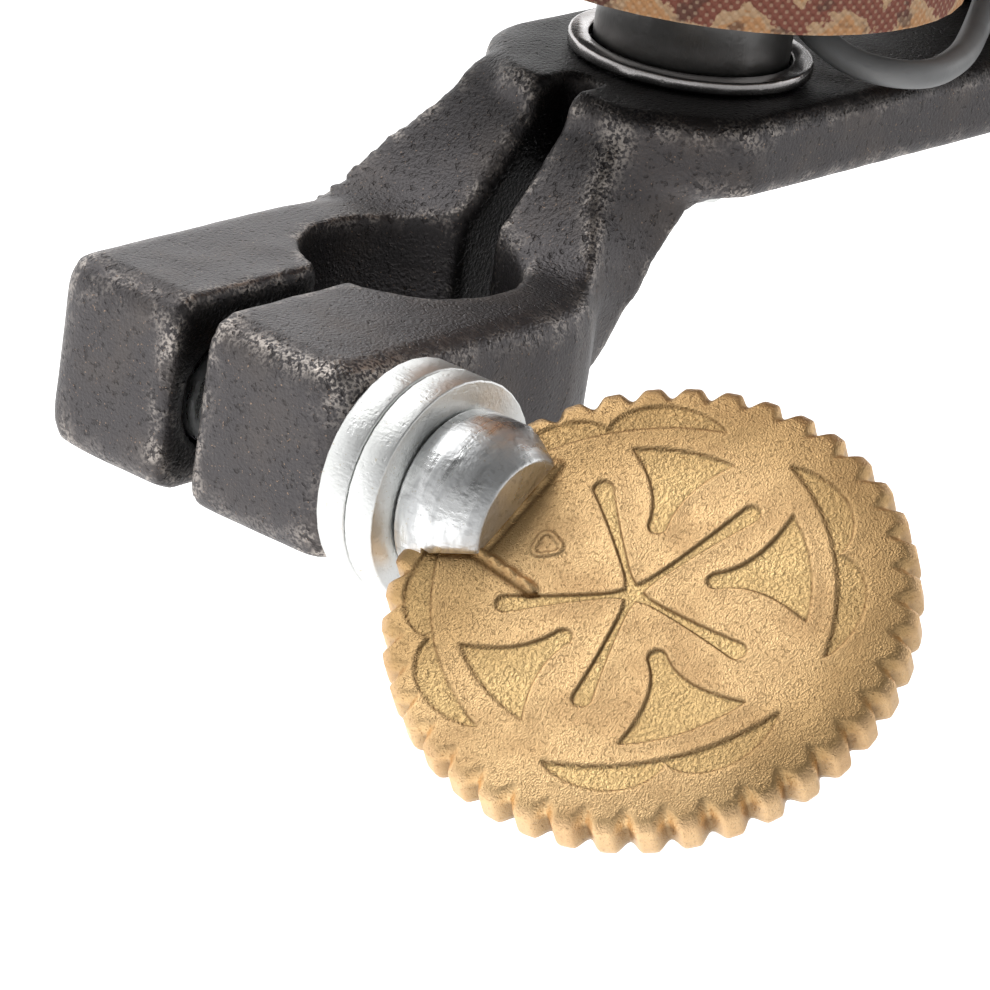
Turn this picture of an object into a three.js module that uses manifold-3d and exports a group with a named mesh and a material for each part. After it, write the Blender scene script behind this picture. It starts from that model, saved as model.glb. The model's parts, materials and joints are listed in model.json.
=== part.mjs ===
// Coil machine: a cast frame with a split tube vise, two coils, a sprung armature
// and a contact screw. Millimetres, +Z up, +X towards the thumbscrew, -Y towards the
// vise. The origin is on the axis of the vise bore, level with the top of the jaws.

import * as THREE from "three";
import { mergeVertices } from "three/addons/utils/BufferGeometryUtils.js";
import Module from "manifold-3d";

const wasm = await Module();
wasm.setup();

// ---------------------------------------------------------------- driving sizes

const SEAT = 0.06; // gap left between two pieces that sit on each other
const FIT = 0.12; // gap all round a shank or a core in its hole
const SLIVER = 0.004; // details smaller than this are merged after a cut

// tube vise
const BORE_D = 8.2;
const VISE_WIDTH = 14.2;
const VISE_FRONT = 11.56; // front face, ahead of the bore axis
const VISE_BACK_WALL = 3.0; // metal behind the bore
const VISE_HEIGHT = 7.53;
const SLIT_WIDTH = 1.43;
const SLIT_SHIFT = -0.28; // the slit is a little left of the middle
const SLIT_END = 9.4; // where the slit runs out in the shelf
const CAST_ROUND = 1.0;
const JAW_CORNER = 1.6;

// vise thumbscrew
const SCREW_FROM_FRONT = 3.34; // screw axis behind the front face
const SCREW_FROM_FOOT = 3.39; // screw axis above the vise's lower face
const SCREW_D = 4.1;
const SCREW_END = 0.7; // how far the shank stops short of the far jaw's side
const WASHER_R = 4.2;
const WASHER_T = 1.26;
const HEAD_R = 3.27;
const HEAD_END_R = 2.47;
const HEAD_BARREL = 1.8;
const HEAD_LENGTH = 3.31;
const HEAD_SLOT_DEPTH = 2.0;
const HEAD_CHAMFER = 0.2;
const DISC_R = 9.29;
const DISC_T = 1.75;
const DISC_TEETH = 40;
const TOOTH_DEPTH = 0.62;
const DISC_TURN = 54.8; // degrees the disc is turned back from the vertical
const DISC_LEAN = 7.0; // degrees the disc leans off the screw axis
const DISC_BITE = 2.3; // how far the full rim would reach past the middle of the slot
const DISC_DROP = 0.58; // the disc sits a little below the middle of the head
const DISC_CLEAR = 0.15; // gap between disc and slot

// neck and coil shelf
const SHELF_TOP = 5.41;
const SHELF_T = 3.2;
const SHELF_HALF = 6.6;
const SHELF_NOSE_HALF = 3.3;
const SHELF_NOSE_Y = 7.2;
const SHELF_ROUND = 0.6;
const SHELF_CORNER = 1.4;
const SHELF_FLARE = 1.1; // length of the flare for each unit of its width
const WEB_REACH = 3.6;
const WEB_INSET = 1.0;

// coils
const FRONT_COIL_Y = 15.18;
const COIL_GAP = 1.8; // between the two coils
const CORE_D = 7.68;
const CORE_PROUD = 1.6; // core standing above its coil
const SHIM_D = 9.58;
const SHIM_T = 0.55;
const COIL_D = 20.2;
const COIL_BOTTOM = 9.71;
const COIL_TOP = 36.3;
const WRAP_T = 0.4;
const FLANGE_T = 1.5;
const CORE_SCREW_D = 4.0;
const CORE_SCREW_HEAD_D = 6.6;
const CORE_SCREW_HEAD_H = 1.7;
const CORE_SCREW_BITE = 9;
const CORE_SCREW_SLOT = 1.0;
const FLANGE_INSET = 0.3; // flanges inside the ends of the wrap
const WINDING_INSET = 0.2; // winding inside the rims of the flanges

// upright, spring deck and side arm
const COIL_TO_UPRIGHT = 4.4;
const UPRIGHT_T = 4.5;
const DECK_HALF = 7.0;
const DECK_T = 5.2;
const DECK_FRONT = 4.0; // how far the deck reaches ahead of the upright
const DECK_BACK = 1.6;
const DECK_CORNER = 2.5;
const ARM_INNER = 6.9; // inner face of the side arm, left of the middle
const ARM_T = 4.2;
const ARM_ROUND = 0.7;
const ARM_HEEL = 1.5; // how far the arm's heel stands over the deck

// armature and springs
const ARMATURE_GAP = 1.6; // open gap between the cores and the bar
const ARMATURE_T = 5.0;
const ARMATURE_W = 9.5;
const ARMATURE_FRONT = 10.6; // front end of the bar
const ARMATURE_LENGTH = 34.5;
const ARMATURE_TAPER = 6.0; // length of the bar's tapered front end
const ARMATURE_ROUND = 1.5;
const ARMATURE_CHAMFER = 0.4;
const NIPPLE_D = 2.4;
const NIPPLE_OUT = 4.2;
const NIPPLE_BACK = 2.4; // nipple behind the front end of the bar
const SPRING_T = 0.5;
const SPRING_W = 9.0;
const SPRING_ROUND = 2.0;
const SPRING_GAP = 0.3; // play under and over the spring at its bend
const SPRING_SCREW_Y = 33; // screw that joins both springs to the bar
const SPRING_LIFT = 5.2; // rise of the front spring at its tip
const SPRING_STEP = 1.0; // the front spring is this much narrower than the rear one
const TIP_BEHIND = 2.5; // level tip of the front spring, behind the contact screw
const TIP_AHEAD = 3.0;
const REAR_SPRING_TAIL = 4.0; // rear spring behind its clamp screw
const CLAMP_BACK = 5.0; // clamp screw, behind the front edge of the deck
const SMALL_SCREW_D = 3.5;
const SMALL_HEAD_D = 6.2;
const SMALL_HEAD_H = 2.2;
const SMALL_HEAD_CHAMFER = 0.7;
const SMALL_SLOT_WIDTH = 0.9;
const SMALL_SLOT_DEPTH = 0.9;
const SMALL_WASHER_T = 0.8;
const SMALL_WASHER_RIM = 0.6;
const SCREW_BITE = 3.4; // how far the small screws go into bar and deck
const SPRING_OVERHANG = 4.5; // spring beyond the middle of its screw

// front binding post and contact screw
const CONTACT_Y = 18.6;
const POST_D = 7.6;
const POST_ABOVE_SPRING = 9.0; // post axis above the tip of the front spring
const POST_RIGHT = 7.0;
const EYE_WALL = 2.6;
const BUSH_T = 1.0;
const BUSH_WALL = 1.2;
const BUSH_RIM = 1.6; // flange of the bush, outside its sleeve
const POST_NUT_WALL = 2.0;
const POST_NUT_PROUD = 1.0; // post standing out of its nut
const POST_LUG_RIM = 1.8;
const POST_LUG_TAIL = 3.4;
const CONTACT_D = 3.9;
const CONTACT_TIP_D = 1.8;
const CONTACT_TIP_L = 1.5;
const CONTACT_GAP = 0.15;
const CONTACT_KNOB_D = 8.6;
const CONTACT_KNOB_H = 3.2;
const CONTACT_RISE = 7.5; // bare thread above the post
const CLAMP_KNOB_D = 8.4;
const CLAMP_KNOB_L = 4.2;
const CLAMP_KNOB_OUT = 1.2; // bare thread between post and clamp knob
const CLAMP_SCREW_PLAY = 0.3;
const KNOB_RIBS = 18;
const RIB_DEPTH = 0.35;
const KNOB_CHAMFER = 0.3;

// rear binding posts
const REAR_POST_D = 7.0;
const REAR_POST_L = 12;
const REAR_POST_LOW = 13;
const REAR_POST_RISE = 13;
const CLIP_HOLE_D = 2.4;
const CLIP_HOLE_SHARE = 0.6; // place of the cross hole along the post
const POST_STUD_D = 3.0;
const POST_STUD_PROUD = 0.3;
const REAR_BUSH_RIM = 2.3;
const REAR_LUG_RIM = 1.3;
const REAR_LUG_TAIL = 2.6;
const NUT_ACROSS = 5.2;
const NUT_T = 1.8;
const LUG_T = 0.4;
const LUG_NECK = 2.2;
const POST_CHAMFER = 0.5;

// wiring
const LEAD_D = 1.25;
const CAP_D = 5.6;
const CAP_L = 11;
const CAP_LEG_D = 0.7;
const CAP_CLEAR = 1.58; // between the capacitor and each coil
const CAP_Z = 14.5;
const CAP_CHAMFER = 0.5;
const WIRE_SIDES = 8;

// ---------------------------------------------------------------- worked-out places

const screwY = SCREW_FROM_FRONT - VISE_FRONT;
const screwZ = SCREW_FROM_FOOT - VISE_HEIGHT;
const shelfBottom = SHELF_TOP - SHELF_T;
const viseHalf = VISE_WIDTH / 2;
const screwEnd = SCREW_END - viseHalf;
const viseBackR = BORE_D / 2 + VISE_BACK_WALL;
const coilR = COIL_D / 2;
const rearCoilY = FRONT_COIL_Y + COIL_D + COIL_GAP;
const uprightY = rearCoilY + coilR + COIL_TO_UPRIGHT;
const uprightBack = uprightY + UPRIGHT_T;
const coreTop = COIL_TOP + CORE_PROUD;
const barBottom = coreTop + ARMATURE_GAP;
const barTop = barBottom + ARMATURE_T;
const deckTop = barTop;
const deckFrontY = uprightY - DECK_FRONT;
const deckBackY = uprightBack + DECK_BACK;
const springBottom = deckTop + SPRING_GAP;
const springTop = springBottom + SPRING_T;
const clampY = deckFrontY + CLAMP_BACK;
const tipZ = springTop + SEAT + SPRING_T + SPRING_LIFT;
const postZ = tipZ + POST_ABOVE_SPRING;
const armLeft = -(ARM_INNER + ARM_T);
const eyeR = POST_D / 2 + BUSH_WALL + EYE_WALL;

// ---------------------------------------------------------------- solids

// a closed three.js geometry as a manifold solid
function solid(geometry) {
  const bare = geometry.clone();
  bare.deleteAttribute("normal");
  bare.deleteAttribute("uv");
  const merged = mergeVertices(bare, 1e-4);
  const corners = merged.index.array;
  const kept = [];
  for (let i = 0; i < corners.length; i += 3) {
    const [a, b, c] = corners.slice(i, i + 3);
    if (a !== b && b !== c && c !== a) kept.push(a, b, c);
  }
  const vertProperties = Float32Array.from(merged.attributes.position.array);
  const triVerts = Uint32Array.from(kept);
  return new wasm.Manifold(new wasm.Mesh({ numProp: 3, vertProperties, triVerts }));
}

// a manifold solid as a three.js geometry, without the slivers that cuts leave
function geometryOf(body) {
  const mesh = body.simplify(SLIVER).getMesh();
  const geometry = new THREE.BufferGeometry();
  geometry.setAttribute("position", new THREE.BufferAttribute(mesh.vertProperties, 3));
  geometry.setIndex(new THREE.BufferAttribute(mesh.triVerts, 1));
  geometry.computeVertexNormals();
  return geometry;
}

function moved(geometry, x, y, z) {
  return geometry.clone().translate(x, y, z);
}

// a turned solid along +Z from [radius, height] pairs
function turned(profile, segments = 24) {
  const points = profile.map(([r, z]) => new THREE.Vector2(r, z));
  return new THREE.LatheGeometry(points, segments).rotateX(Math.PI / 2);
}

function rod(radius, z0, z1, segments = 24) {
  return turned([[0, z0], [radius, z0], [radius, z1], [0, z1]], segments);
}

// a tube or washer along +Z
function ring(outer, inner, z0, z1, segments = 24) {
  return turned([[inner, z0], [outer, z0], [outer, z1], [inner, z1], [inner, z0]], segments);
}

function hexNut(across, hole, z0, z1) {
  const shape = new THREE.Shape();
  for (let side = 0; side < 6; side++) {
    const turn = (side * Math.PI) / 3;
    const radius = across / 2 / Math.cos(Math.PI / 6);
    const corner = [radius * Math.cos(turn), radius * Math.sin(turn)];
    if (side === 0) shape.moveTo(...corner);
    else shape.lineTo(...corner);
  }
  shape.closePath();
  const bore = new THREE.Path();
  bore.absarc(0, 0, hole / 2, 0, Math.PI * 2, true);
  shape.holes.push(bore);
  const plate = new THREE.ExtrudeGeometry(shape, { depth: z1 - z0, bevelEnabled: false, curveSegments: 10 });
  return plate.translate(0, 0, z0);
}

// a plate cut from an outline in X and Y, with rounded top and bottom edges
function slab(shape, z0, z1, round, curveSegments = 5) {
  const plate = new THREE.ExtrudeGeometry(shape, {
    depth: z1 - z0 - 2 * round,
    bevelEnabled: round > 0,
    bevelThickness: round,
    bevelSize: round,
    bevelOffset: -round,
    bevelSegments: 2,
    curveSegments,
  });
  return plate.translate(0, 0, z0 + round);
}

// turn a slab drawn in Y and Z so that its thickness runs along +X
function alongX(geometry) {
  const basis = new THREE.Matrix4().makeBasis(
    new THREE.Vector3(0, 1, 0),
    new THREE.Vector3(0, 0, 1),
    new THREE.Vector3(1, 0, 0),
  );
  return geometry.applyMatrix4(basis);
}

// turn a solid made along +Z so that it runs along +Y
function alongY(geometry) {
  return geometry.rotateX(-Math.PI / 2);
}

function box(x0, x1, y0, y1, z0, z1) {
  const block = new THREE.BoxGeometry(x1 - x0, y1 - y0, z1 - z0);
  return block.translate((x0 + x1) / 2, (y0 + y1) / 2, (z0 + z1) / 2);
}

// an outline through corners [x, y, radius], each corner rounded by its radius
function roundedOutline(corners) {
  const shape = new THREE.Shape();
  const count = corners.length;
  for (let i = 0; i < count; i++) {
    const [x, y, radius] = corners[i];
    const here = new THREE.Vector2(x, y);
    const before = new THREE.Vector2(...corners[(i + count - 1) % count]);
    const after = new THREE.Vector2(...corners[(i + 1) % count]);
    const start = here.clone().add(before.sub(here).setLength(radius));
    const end = here.clone().add(after.sub(here).setLength(radius));
    if (i === 0) shape.moveTo(start.x, start.y);
    else shape.lineTo(start.x, start.y);
    if (radius > 0) shape.quadraticCurveTo(x, y, end.x, end.y);
  }
  shape.closePath();
  return shape;
}

// a closed skin over a row of four-cornered sections
function loft(sections) {
  const points = sections.flat();
  const faces = [];
  const quad = (a, b, c, d) => faces.push(a, c, b, a, d, c);
  for (let row = 0; row + 1 < sections.length; row++) {
    for (let side = 0; side < 4; side++) {
      const a = row * 4 + side;
      const b = row * 4 + ((side + 1) % 4);
      quad(a, b, b + 4, a + 4);
    }
  }
  const last = (sections.length - 1) * 4;
  quad(3, 2, 1, 0);
  quad(last, last + 1, last + 2, last + 3);
  const geometry = new THREE.BufferGeometry();
  const flat = new Float32Array(points.flat());
  geometry.setAttribute("position", new THREE.BufferAttribute(flat, 3));
  geometry.setIndex(faces);
  return geometry;
}

// a round wire along a smooth curve through hand-chosen points
function wire(points, diameter, steps = 36) {
  const curve = new THREE.CatmullRomCurve3(points.map((p) => new THREE.Vector3(...p)));
  const section = new THREE.Shape();
  section.absarc(0, 0, diameter / 2, 0, Math.PI * 2);
  return new THREE.ExtrudeGeometry(section, {
    steps,
    extrudePath: curve,
    curveSegments: WIRE_SIDES / 2,
    bevelEnabled: false,
  });
}

// ---------------------------------------------------------------- materials

function paint(color, roughness, metalness) {
  return new THREE.MeshStandardMaterial({ color, roughness, metalness });
}

const CAST = () => paint(0x3a332f, 0.72, 0.35);
const ZINC = () => paint(0xb9bbb6, 0.38, 0.95);
const ANTIQUE = () => paint(0xb08a4c, 0.5, 0.85);
const DARK_STEEL = () => paint(0x5a5c5e, 0.4, 0.9);
const BRIGHT_STEEL = () => paint(0xc6c4c2, 0.28, 0.95);
const SPRING_STEEL = () => paint(0x6d7681, 0.3, 0.95);
const BRASS = () => paint(0xc79a4b, 0.32, 0.95);
const COPPER = () => paint(0xa8592e, 0.4, 0.8);
const FIBRE = () => paint(0x1c1b1b, 0.75, 0.0);
const NYLON = () => paint(0xe6e1d4, 0.5, 0.0);
const CLOTH = () => paint(0xa87850, 0.85, 0.0);
const SLEEVE = () => paint(0x3c3f43, 0.7, 0.0);
const CAN = () => paint(0x23262c, 0.45, 0.1);

const machine = new THREE.Group();

function part(name, geometry, material, parent = machine) {
  const mesh = new THREE.Mesh(geometry, material);
  mesh.name = name;
  parent.add(mesh);
  return mesh;
}

// ---------------------------------------------------------------- cast frame

// two jaws in one block, rounded behind the bore
function viseBlock() {
  const corner = JAW_CORNER;
  const outline = new THREE.Shape();
  outline.moveTo(-viseHalf + corner, -VISE_FRONT);
  outline.lineTo(viseHalf - corner, -VISE_FRONT);
  outline.quadraticCurveTo(viseHalf, -VISE_FRONT, viseHalf, -VISE_FRONT + corner);
  outline.lineTo(viseHalf, 0);
  outline.absellipse(0, 0, viseHalf, viseBackR, 0, Math.PI);
  outline.lineTo(-viseHalf, -VISE_FRONT + corner);
  outline.quadraticCurveTo(-viseHalf, -VISE_FRONT, -viseHalf + corner, -VISE_FRONT);
  outline.closePath();
  return slab(outline, -VISE_HEIGHT, 0, CAST_ROUND, 7);
}

// The sloping neck, one row for each section. The top edge has its place, its share of the
// rise to the shelf, and how far its two ends lie in from the sides of the vise. The
// underside has its place, its height as a share of that rise or of the vise, and its inset.
const NECK_ROWS = [
  { top: [1.2, -0.074], left: 0.1, right: 0.9, foot: [3.0, -0.797], under: 2.7 },
  { top: [2.9, -0.004], left: 0.1, right: 1.0, foot: [6.2, -0.558], under: 2.7 },
  { top: [3.7, 0.052], left: 0.1, right: 1.6, foot: [7.3, -0.292], under: 2.4 },
  { top: [4.4, 0.144], left: 0.15, right: 2.1, foot: [7.9, -0.146], under: 2.2 },
  { top: [5.1, 0.296], left: 0.5, right: 2.8, foot: [8.4, -0.027], under: 2.2 },
  { top: [5.9, 0.471], left: 1.2, right: 3.6, foot: [9.1, 0.129], under: 2.2 },
  { top: [6.8, 0.684], left: 1.95, right: 3.9, foot: [10.0, 0.296], under: 2.1 },
  { top: [7.6, 0.86], left: 2.2, right: 3.8, foot: [11.2, 0.425], under: 1.7 },
  { top: [8.6, 0.97], left: 2.4, right: 2.9, foot: [12.4, 0.481], under: 1.1 },
];

function neck() {
  const rise = (share) => share * (share > 0 ? SHELF_TOP : VISE_HEIGHT);
  const sections = NECK_ROWS.map(({ top, left, right, foot, under }) => {
    const topZ = rise(top[1]);
    const footZ = rise(foot[1]);
    return [
      [left - viseHalf, top[0], topZ],
      [under - viseHalf, foot[0], footZ],
      [viseHalf - under, foot[0], footZ],
      [viseHalf - right, top[0], topZ],
    ];
  });
  return loft(sections);
}

// the flat shelf under the coils, flared at the nose
function shelf() {
  const flareEnd = SHELF_NOSE_Y + (SHELF_HALF - SHELF_NOSE_HALF) * SHELF_FLARE;
  const outline = roundedOutline([
    [-SHELF_NOSE_HALF, SHELF_NOSE_Y, SHELF_CORNER],
    [SHELF_NOSE_HALF, SHELF_NOSE_Y, SHELF_CORNER],
    [SHELF_HALF, flareEnd, SHELF_CORNER],
    [SHELF_HALF, uprightBack, SHELF_CORNER],
    [-SHELF_HALF, uprightBack, SHELF_CORNER],
    [-SHELF_HALF, flareEnd, SHELF_CORNER],
  ]);
  return slab(outline, shelfBottom, SHELF_TOP, SHELF_ROUND);
}

// the rear upright, drawn from behind, with a fillet at its foot
function upright() {
  const foot = new THREE.Shape();
  const top = deckTop - DECK_T / 2;
  foot.moveTo(-SHELF_HALF, shelfBottom);
  foot.lineTo(SHELF_HALF, shelfBottom);
  foot.lineTo(SHELF_HALF, top);
  foot.lineTo(-SHELF_HALF, top);
  foot.closePath();
  const plate = slab(foot, 0, UPRIGHT_T, SHELF_ROUND);
  return plate.rotateX(Math.PI / 2).translate(0, uprightBack, 0);
}

// a web that stiffens the corner of shelf and upright
function web() {
  const sunk = SHELF_ROUND; // how far the web goes into shelf and upright
  const outline = new THREE.Shape();
  outline.moveTo(uprightY - WEB_REACH, SHELF_TOP - sunk);
  outline.quadraticCurveTo(uprightY, SHELF_TOP, uprightY + sunk, SHELF_TOP + WEB_REACH);
  outline.lineTo(uprightY + sunk, SHELF_TOP - sunk);
  outline.closePath();
  const half = SHELF_HALF - WEB_INSET;
  const flat = { depth: 2 * half, bevelEnabled: false, curveSegments: 6 };
  return moved(alongX(new THREE.ExtrudeGeometry(outline, flat)), -half, 0, 0);
}

// the deck that carries the rear spring, reaching left to meet the arm
function deck() {
  const outline = roundedOutline([
    [armLeft, deckFrontY, SHELF_CORNER],
    [DECK_HALF, deckFrontY, SHELF_CORNER],
    [DECK_HALF, deckBackY, DECK_CORNER],
    [armLeft, deckBackY, DECK_CORNER],
  ]);
  return slab(outline, deckTop - DECK_T, deckTop, SHELF_ROUND);
}

// the arm that sweeps forward from the deck to the eye of the front binding post
function sideArm() {
  const low = deckTop - DECK_T + SHELF_ROUND;
  const heel = deckBackY - SHELF_ROUND;
  const over = CONTACT_Y + 1.6 * eyeR; // where the upper edge starts to fall away
  const under = CONTACT_Y + 1.2 * eyeR; // where the lower edge does
  const crook = deckTop + DECK_T; // the lower edge turns down over the deck
  const outline = new THREE.Shape();
  outline.moveTo(heel, low);
  outline.lineTo(heel, deckTop + ARM_HEEL);
  outline.bezierCurveTo(heel - ARM_T, postZ, over + eyeR, postZ + eyeR, CONTACT_Y, postZ + eyeR);
  outline.absarc(CONTACT_Y, postZ, eyeR, Math.PI / 2, Math.PI * 1.5, false);
  outline.bezierCurveTo(under, postZ - eyeR, deckFrontY, crook, deckFrontY + SHELF_ROUND, low);
  outline.closePath();
  const plate = slab(outline, armLeft, -ARM_INNER, ARM_ROUND, 9);
  return alongX(plate);
}

function frameCasting() {
  let body = solid(viseBlock());
  for (const piece of [neck(), shelf(), upright(), web(), deck(), sideArm()]) {
    body = body.add(solid(piece));
  }
  const boltHole = CORE_SCREW_D / 2 + FIT;
  const studHole = POST_STUD_D / 2 + FIT;
  const cuts = [
    rod(BORE_D / 2, -VISE_HEIGHT - 1, SHELF_TOP + 4, 56),
    box(
      SLIT_SHIFT - SLIT_WIDTH / 2,
      SLIT_SHIFT + SLIT_WIDTH / 2,
      -VISE_FRONT - 1,
      SLIT_END,
      -VISE_HEIGHT - 1,
      SHELF_TOP + 1,
    ),
    rod(SCREW_D / 2 + FIT, -viseHalf - 1, viseHalf + 1).rotateY(Math.PI / 2).translate(0, screwY, screwZ),
    moved(rod(boltHole, shelfBottom - 1, SHELF_TOP + 1), 0, FRONT_COIL_Y, 0),
    moved(rod(boltHole, shelfBottom - 1, SHELF_TOP + 1), 0, rearCoilY, 0),
    moved(rod(SMALL_SCREW_D / 2 + FIT, deckTop - SCREW_BITE - SPRING_GAP, deckTop + 1), 0, clampY, 0),
    rod(POST_D / 2 + BUSH_WALL + FIT, armLeft - 1, -ARM_INNER + 1, 36)
      .rotateY(Math.PI / 2)
      .translate(0, CONTACT_Y, postZ),
    moved(alongY(rod(studHole, -1, UPRIGHT_T + 1)), 0, uprightY, REAR_POST_LOW + REAR_POST_RISE),
    moved(alongY(rod(studHole + BUSH_WALL, -1, UPRIGHT_T + 1)), 0, uprightY, REAR_POST_LOW),
  ];
  for (const cut of cuts) body = body.subtract(solid(cut));
  return geometryOf(body);
}

part("frame_casting", frameCasting(), CAST());

// ---------------------------------------------------------------- vise thumbscrew

const radians = THREE.MathUtils.degToRad;
const innerWasher = viseHalf + SEAT;
const outerWasher = innerWasher + WASHER_T + SEAT;
const headBase = outerWasher + WASHER_T + SEAT;
const headEnd = headBase + HEAD_LENGTH;
const slotMiddle = headEnd - HEAD_SLOT_DEPTH / 2;
const discReach = DISC_R - DISC_BITE;

// the screw and what it carries are turned along +Z, and this group lays them along +X
const viseAxis = new THREE.Group();
viseAxis.position.set(0, screwY, screwZ);
viseAxis.rotation.y = Math.PI / 2;
machine.add(viseAxis);

const thumb = new THREE.Group();
thumb.rotation.z = radians(90 - DISC_TURN);
viseAxis.add(thumb);

// the disc is drawn flat in X and Y with the screw head at -X, and this stands it in the slot
const discPlace = new THREE.Matrix4().makeRotationY(radians(DISC_LEAN - 90));
discPlace.setPosition(
  discReach * Math.sin(radians(DISC_LEAN)),
  -DISC_DROP,
  slotMiddle + discReach * Math.cos(radians(DISC_LEAN)),
);

function thumbscrew() {
  const shank = SCREW_D / 2;
  const profile = [
    [0, screwEnd],
    [shank - HEAD_CHAMFER, screwEnd],
    [shank, screwEnd + HEAD_CHAMFER],
    [shank, headBase],
    [HEAD_R - HEAD_CHAMFER, headBase],
    [HEAD_R, headBase + HEAD_CHAMFER],
    [HEAD_R, headBase + HEAD_BARREL],
    [HEAD_END_R, headEnd - HEAD_CHAMFER / 2],
    [HEAD_END_R - HEAD_CHAMFER / 2, headEnd],
    [0, headEnd],
  ];
  const floor = -discReach - HEAD_SLOT_DEPTH / 2;
  const wall = DISC_T / 2 + DISC_CLEAR;
  const slot = box(floor, floor + 2 * HEAD_SLOT_DEPTH, -2 * HEAD_R, 2 * HEAD_R, -wall, wall);
  return geometryOf(solid(turned(profile, 40)).subtract(solid(slot.applyMatrix4(discPlace))));
}

// the toothed disc, notched where the barrel of the screw head passes
function thumbDisc() {
  const outline = new THREE.Shape();
  const steps = DISC_TEETH * 6;
  for (let i = 0; i < steps; i++) {
    const turn = (i / steps) * Math.PI * 2;
    const swell = Math.sqrt(Math.abs(Math.cos((turn * DISC_TEETH) / 2)));
    const radius = DISC_R - TOOTH_DEPTH * (1 - swell);
    const place = [radius * Math.cos(turn), radius * Math.sin(turn)];
    if (i === 0) outline.moveTo(...place);
    else outline.lineTo(...place);
  }
  outline.closePath();
  const plate = new THREE.ExtrudeGeometry(outline, { depth: DISC_T, bevelEnabled: false });
  plate.translate(0, 0, -DISC_T / 2);
  const floor = -discReach - HEAD_SLOT_DEPTH / 2 + DISC_CLEAR;
  const barrel = HEAD_R + DISC_CLEAR;
  const notch = box(-2 * DISC_R, floor, DISC_DROP - barrel, DISC_DROP + barrel, -DISC_T, DISC_T);
  return geometryOf(solid(plate).subtract(solid(notch)));
}

const washerBore = SCREW_D / 2 + FIT;
const viseWasher = (x) => ring(WASHER_R, washerBore, x, x + WASHER_T, 36);
part("vise_washer_inner", viseWasher(innerWasher), ZINC(), viseAxis);
part("vise_washer_outer", viseWasher(outerWasher), ZINC(), viseAxis);
part("vise_screw", thumbscrew(), ZINC(), thumb);
part("thumb_disc", thumbDisc().applyMatrix4(discPlace), ANTIQUE(), thumb);

// ---------------------------------------------------------------- coils

// one coil standing on the shelf, with its iron core and the screw that holds it
function coil(name, y) {
  const stand = new THREE.Group();
  stand.position.y = y;
  machine.add(stand);
  const core = CORE_D / 2;
  const bobbin = coilR - WRAP_T - SEAT;
  const shimTop = SHELF_TOP + SEAT + SHIM_T;
  const lowFlange = COIL_BOTTOM + FLANGE_INSET;
  const topFlange = COIL_TOP - FLANGE_INSET - FLANGE_T;
  const screwLow = shelfBottom - SEAT - CORE_SCREW_HEAD_H;
  const screwTop = SHELF_TOP + CORE_SCREW_BITE;
  const bolt = CORE_SCREW_D / 2;
  const bored = solid(rod(core, SHELF_TOP + SEAT, coreTop, 40)).subtract(
    solid(rod(bolt + FIT, SHELF_TOP - 1, screwTop + 1)),
  );
  part(`${name}_core`, geometryOf(bored), DARK_STEEL(), stand);
  const shim = ring(SHIM_D / 2, core + FIT, SHELF_TOP + SEAT, shimTop, 40);
  part(`${name}_shim_ring`, shim, BRIGHT_STEEL(), stand);
  part(`${name}_flange_lower`, ring(bobbin, core + FIT, lowFlange, lowFlange + FLANGE_T, 36), FIBRE(), stand);
  const windLow = lowFlange + FLANGE_T + SEAT;
  const windTop = topFlange - SEAT;
  part(`${name}_winding`, ring(bobbin - WINDING_INSET, core + FIT, windLow, windTop, 36), COPPER(), stand);
  part(`${name}_flange_upper`, ring(bobbin, core + FIT, topFlange, topFlange + FLANGE_T, 36), FIBRE(), stand);
  part(`${name}_wrap`, ring(coilR, coilR - WRAP_T, COIL_BOTTOM, COIL_TOP, 44), CLOTH(), stand);
  const head = CORE_SCREW_HEAD_D / 2;
  const screw = turned([
    [0, screwLow],
    [head - POST_CHAMFER, screwLow],
    [head, screwLow + POST_CHAMFER],
    [head, shelfBottom - SEAT],
    [bolt, shelfBottom - SEAT],
    [bolt, screwTop],
    [0, screwTop],
  ]);
  const slotHalf = CORE_SCREW_SLOT / 2;
  const slotFloor = screwLow + CORE_SCREW_HEAD_H / 2;
  const slot = box(-head - 1, head + 1, -slotHalf, slotHalf, screwLow - 1, slotFloor);
  part(`${name}_core_screw`, geometryOf(solid(screw).subtract(solid(slot))), ZINC(), stand);
}

coil("front_coil", FRONT_COIL_Y);
coil("rear_coil", rearCoilY);

// ---------------------------------------------------------------- armature and springs

const barFront = ARMATURE_FRONT;
const barBack = ARMATURE_FRONT + ARMATURE_LENGTH;
const screwHole = SMALL_SCREW_D / 2 + FIT;

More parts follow.
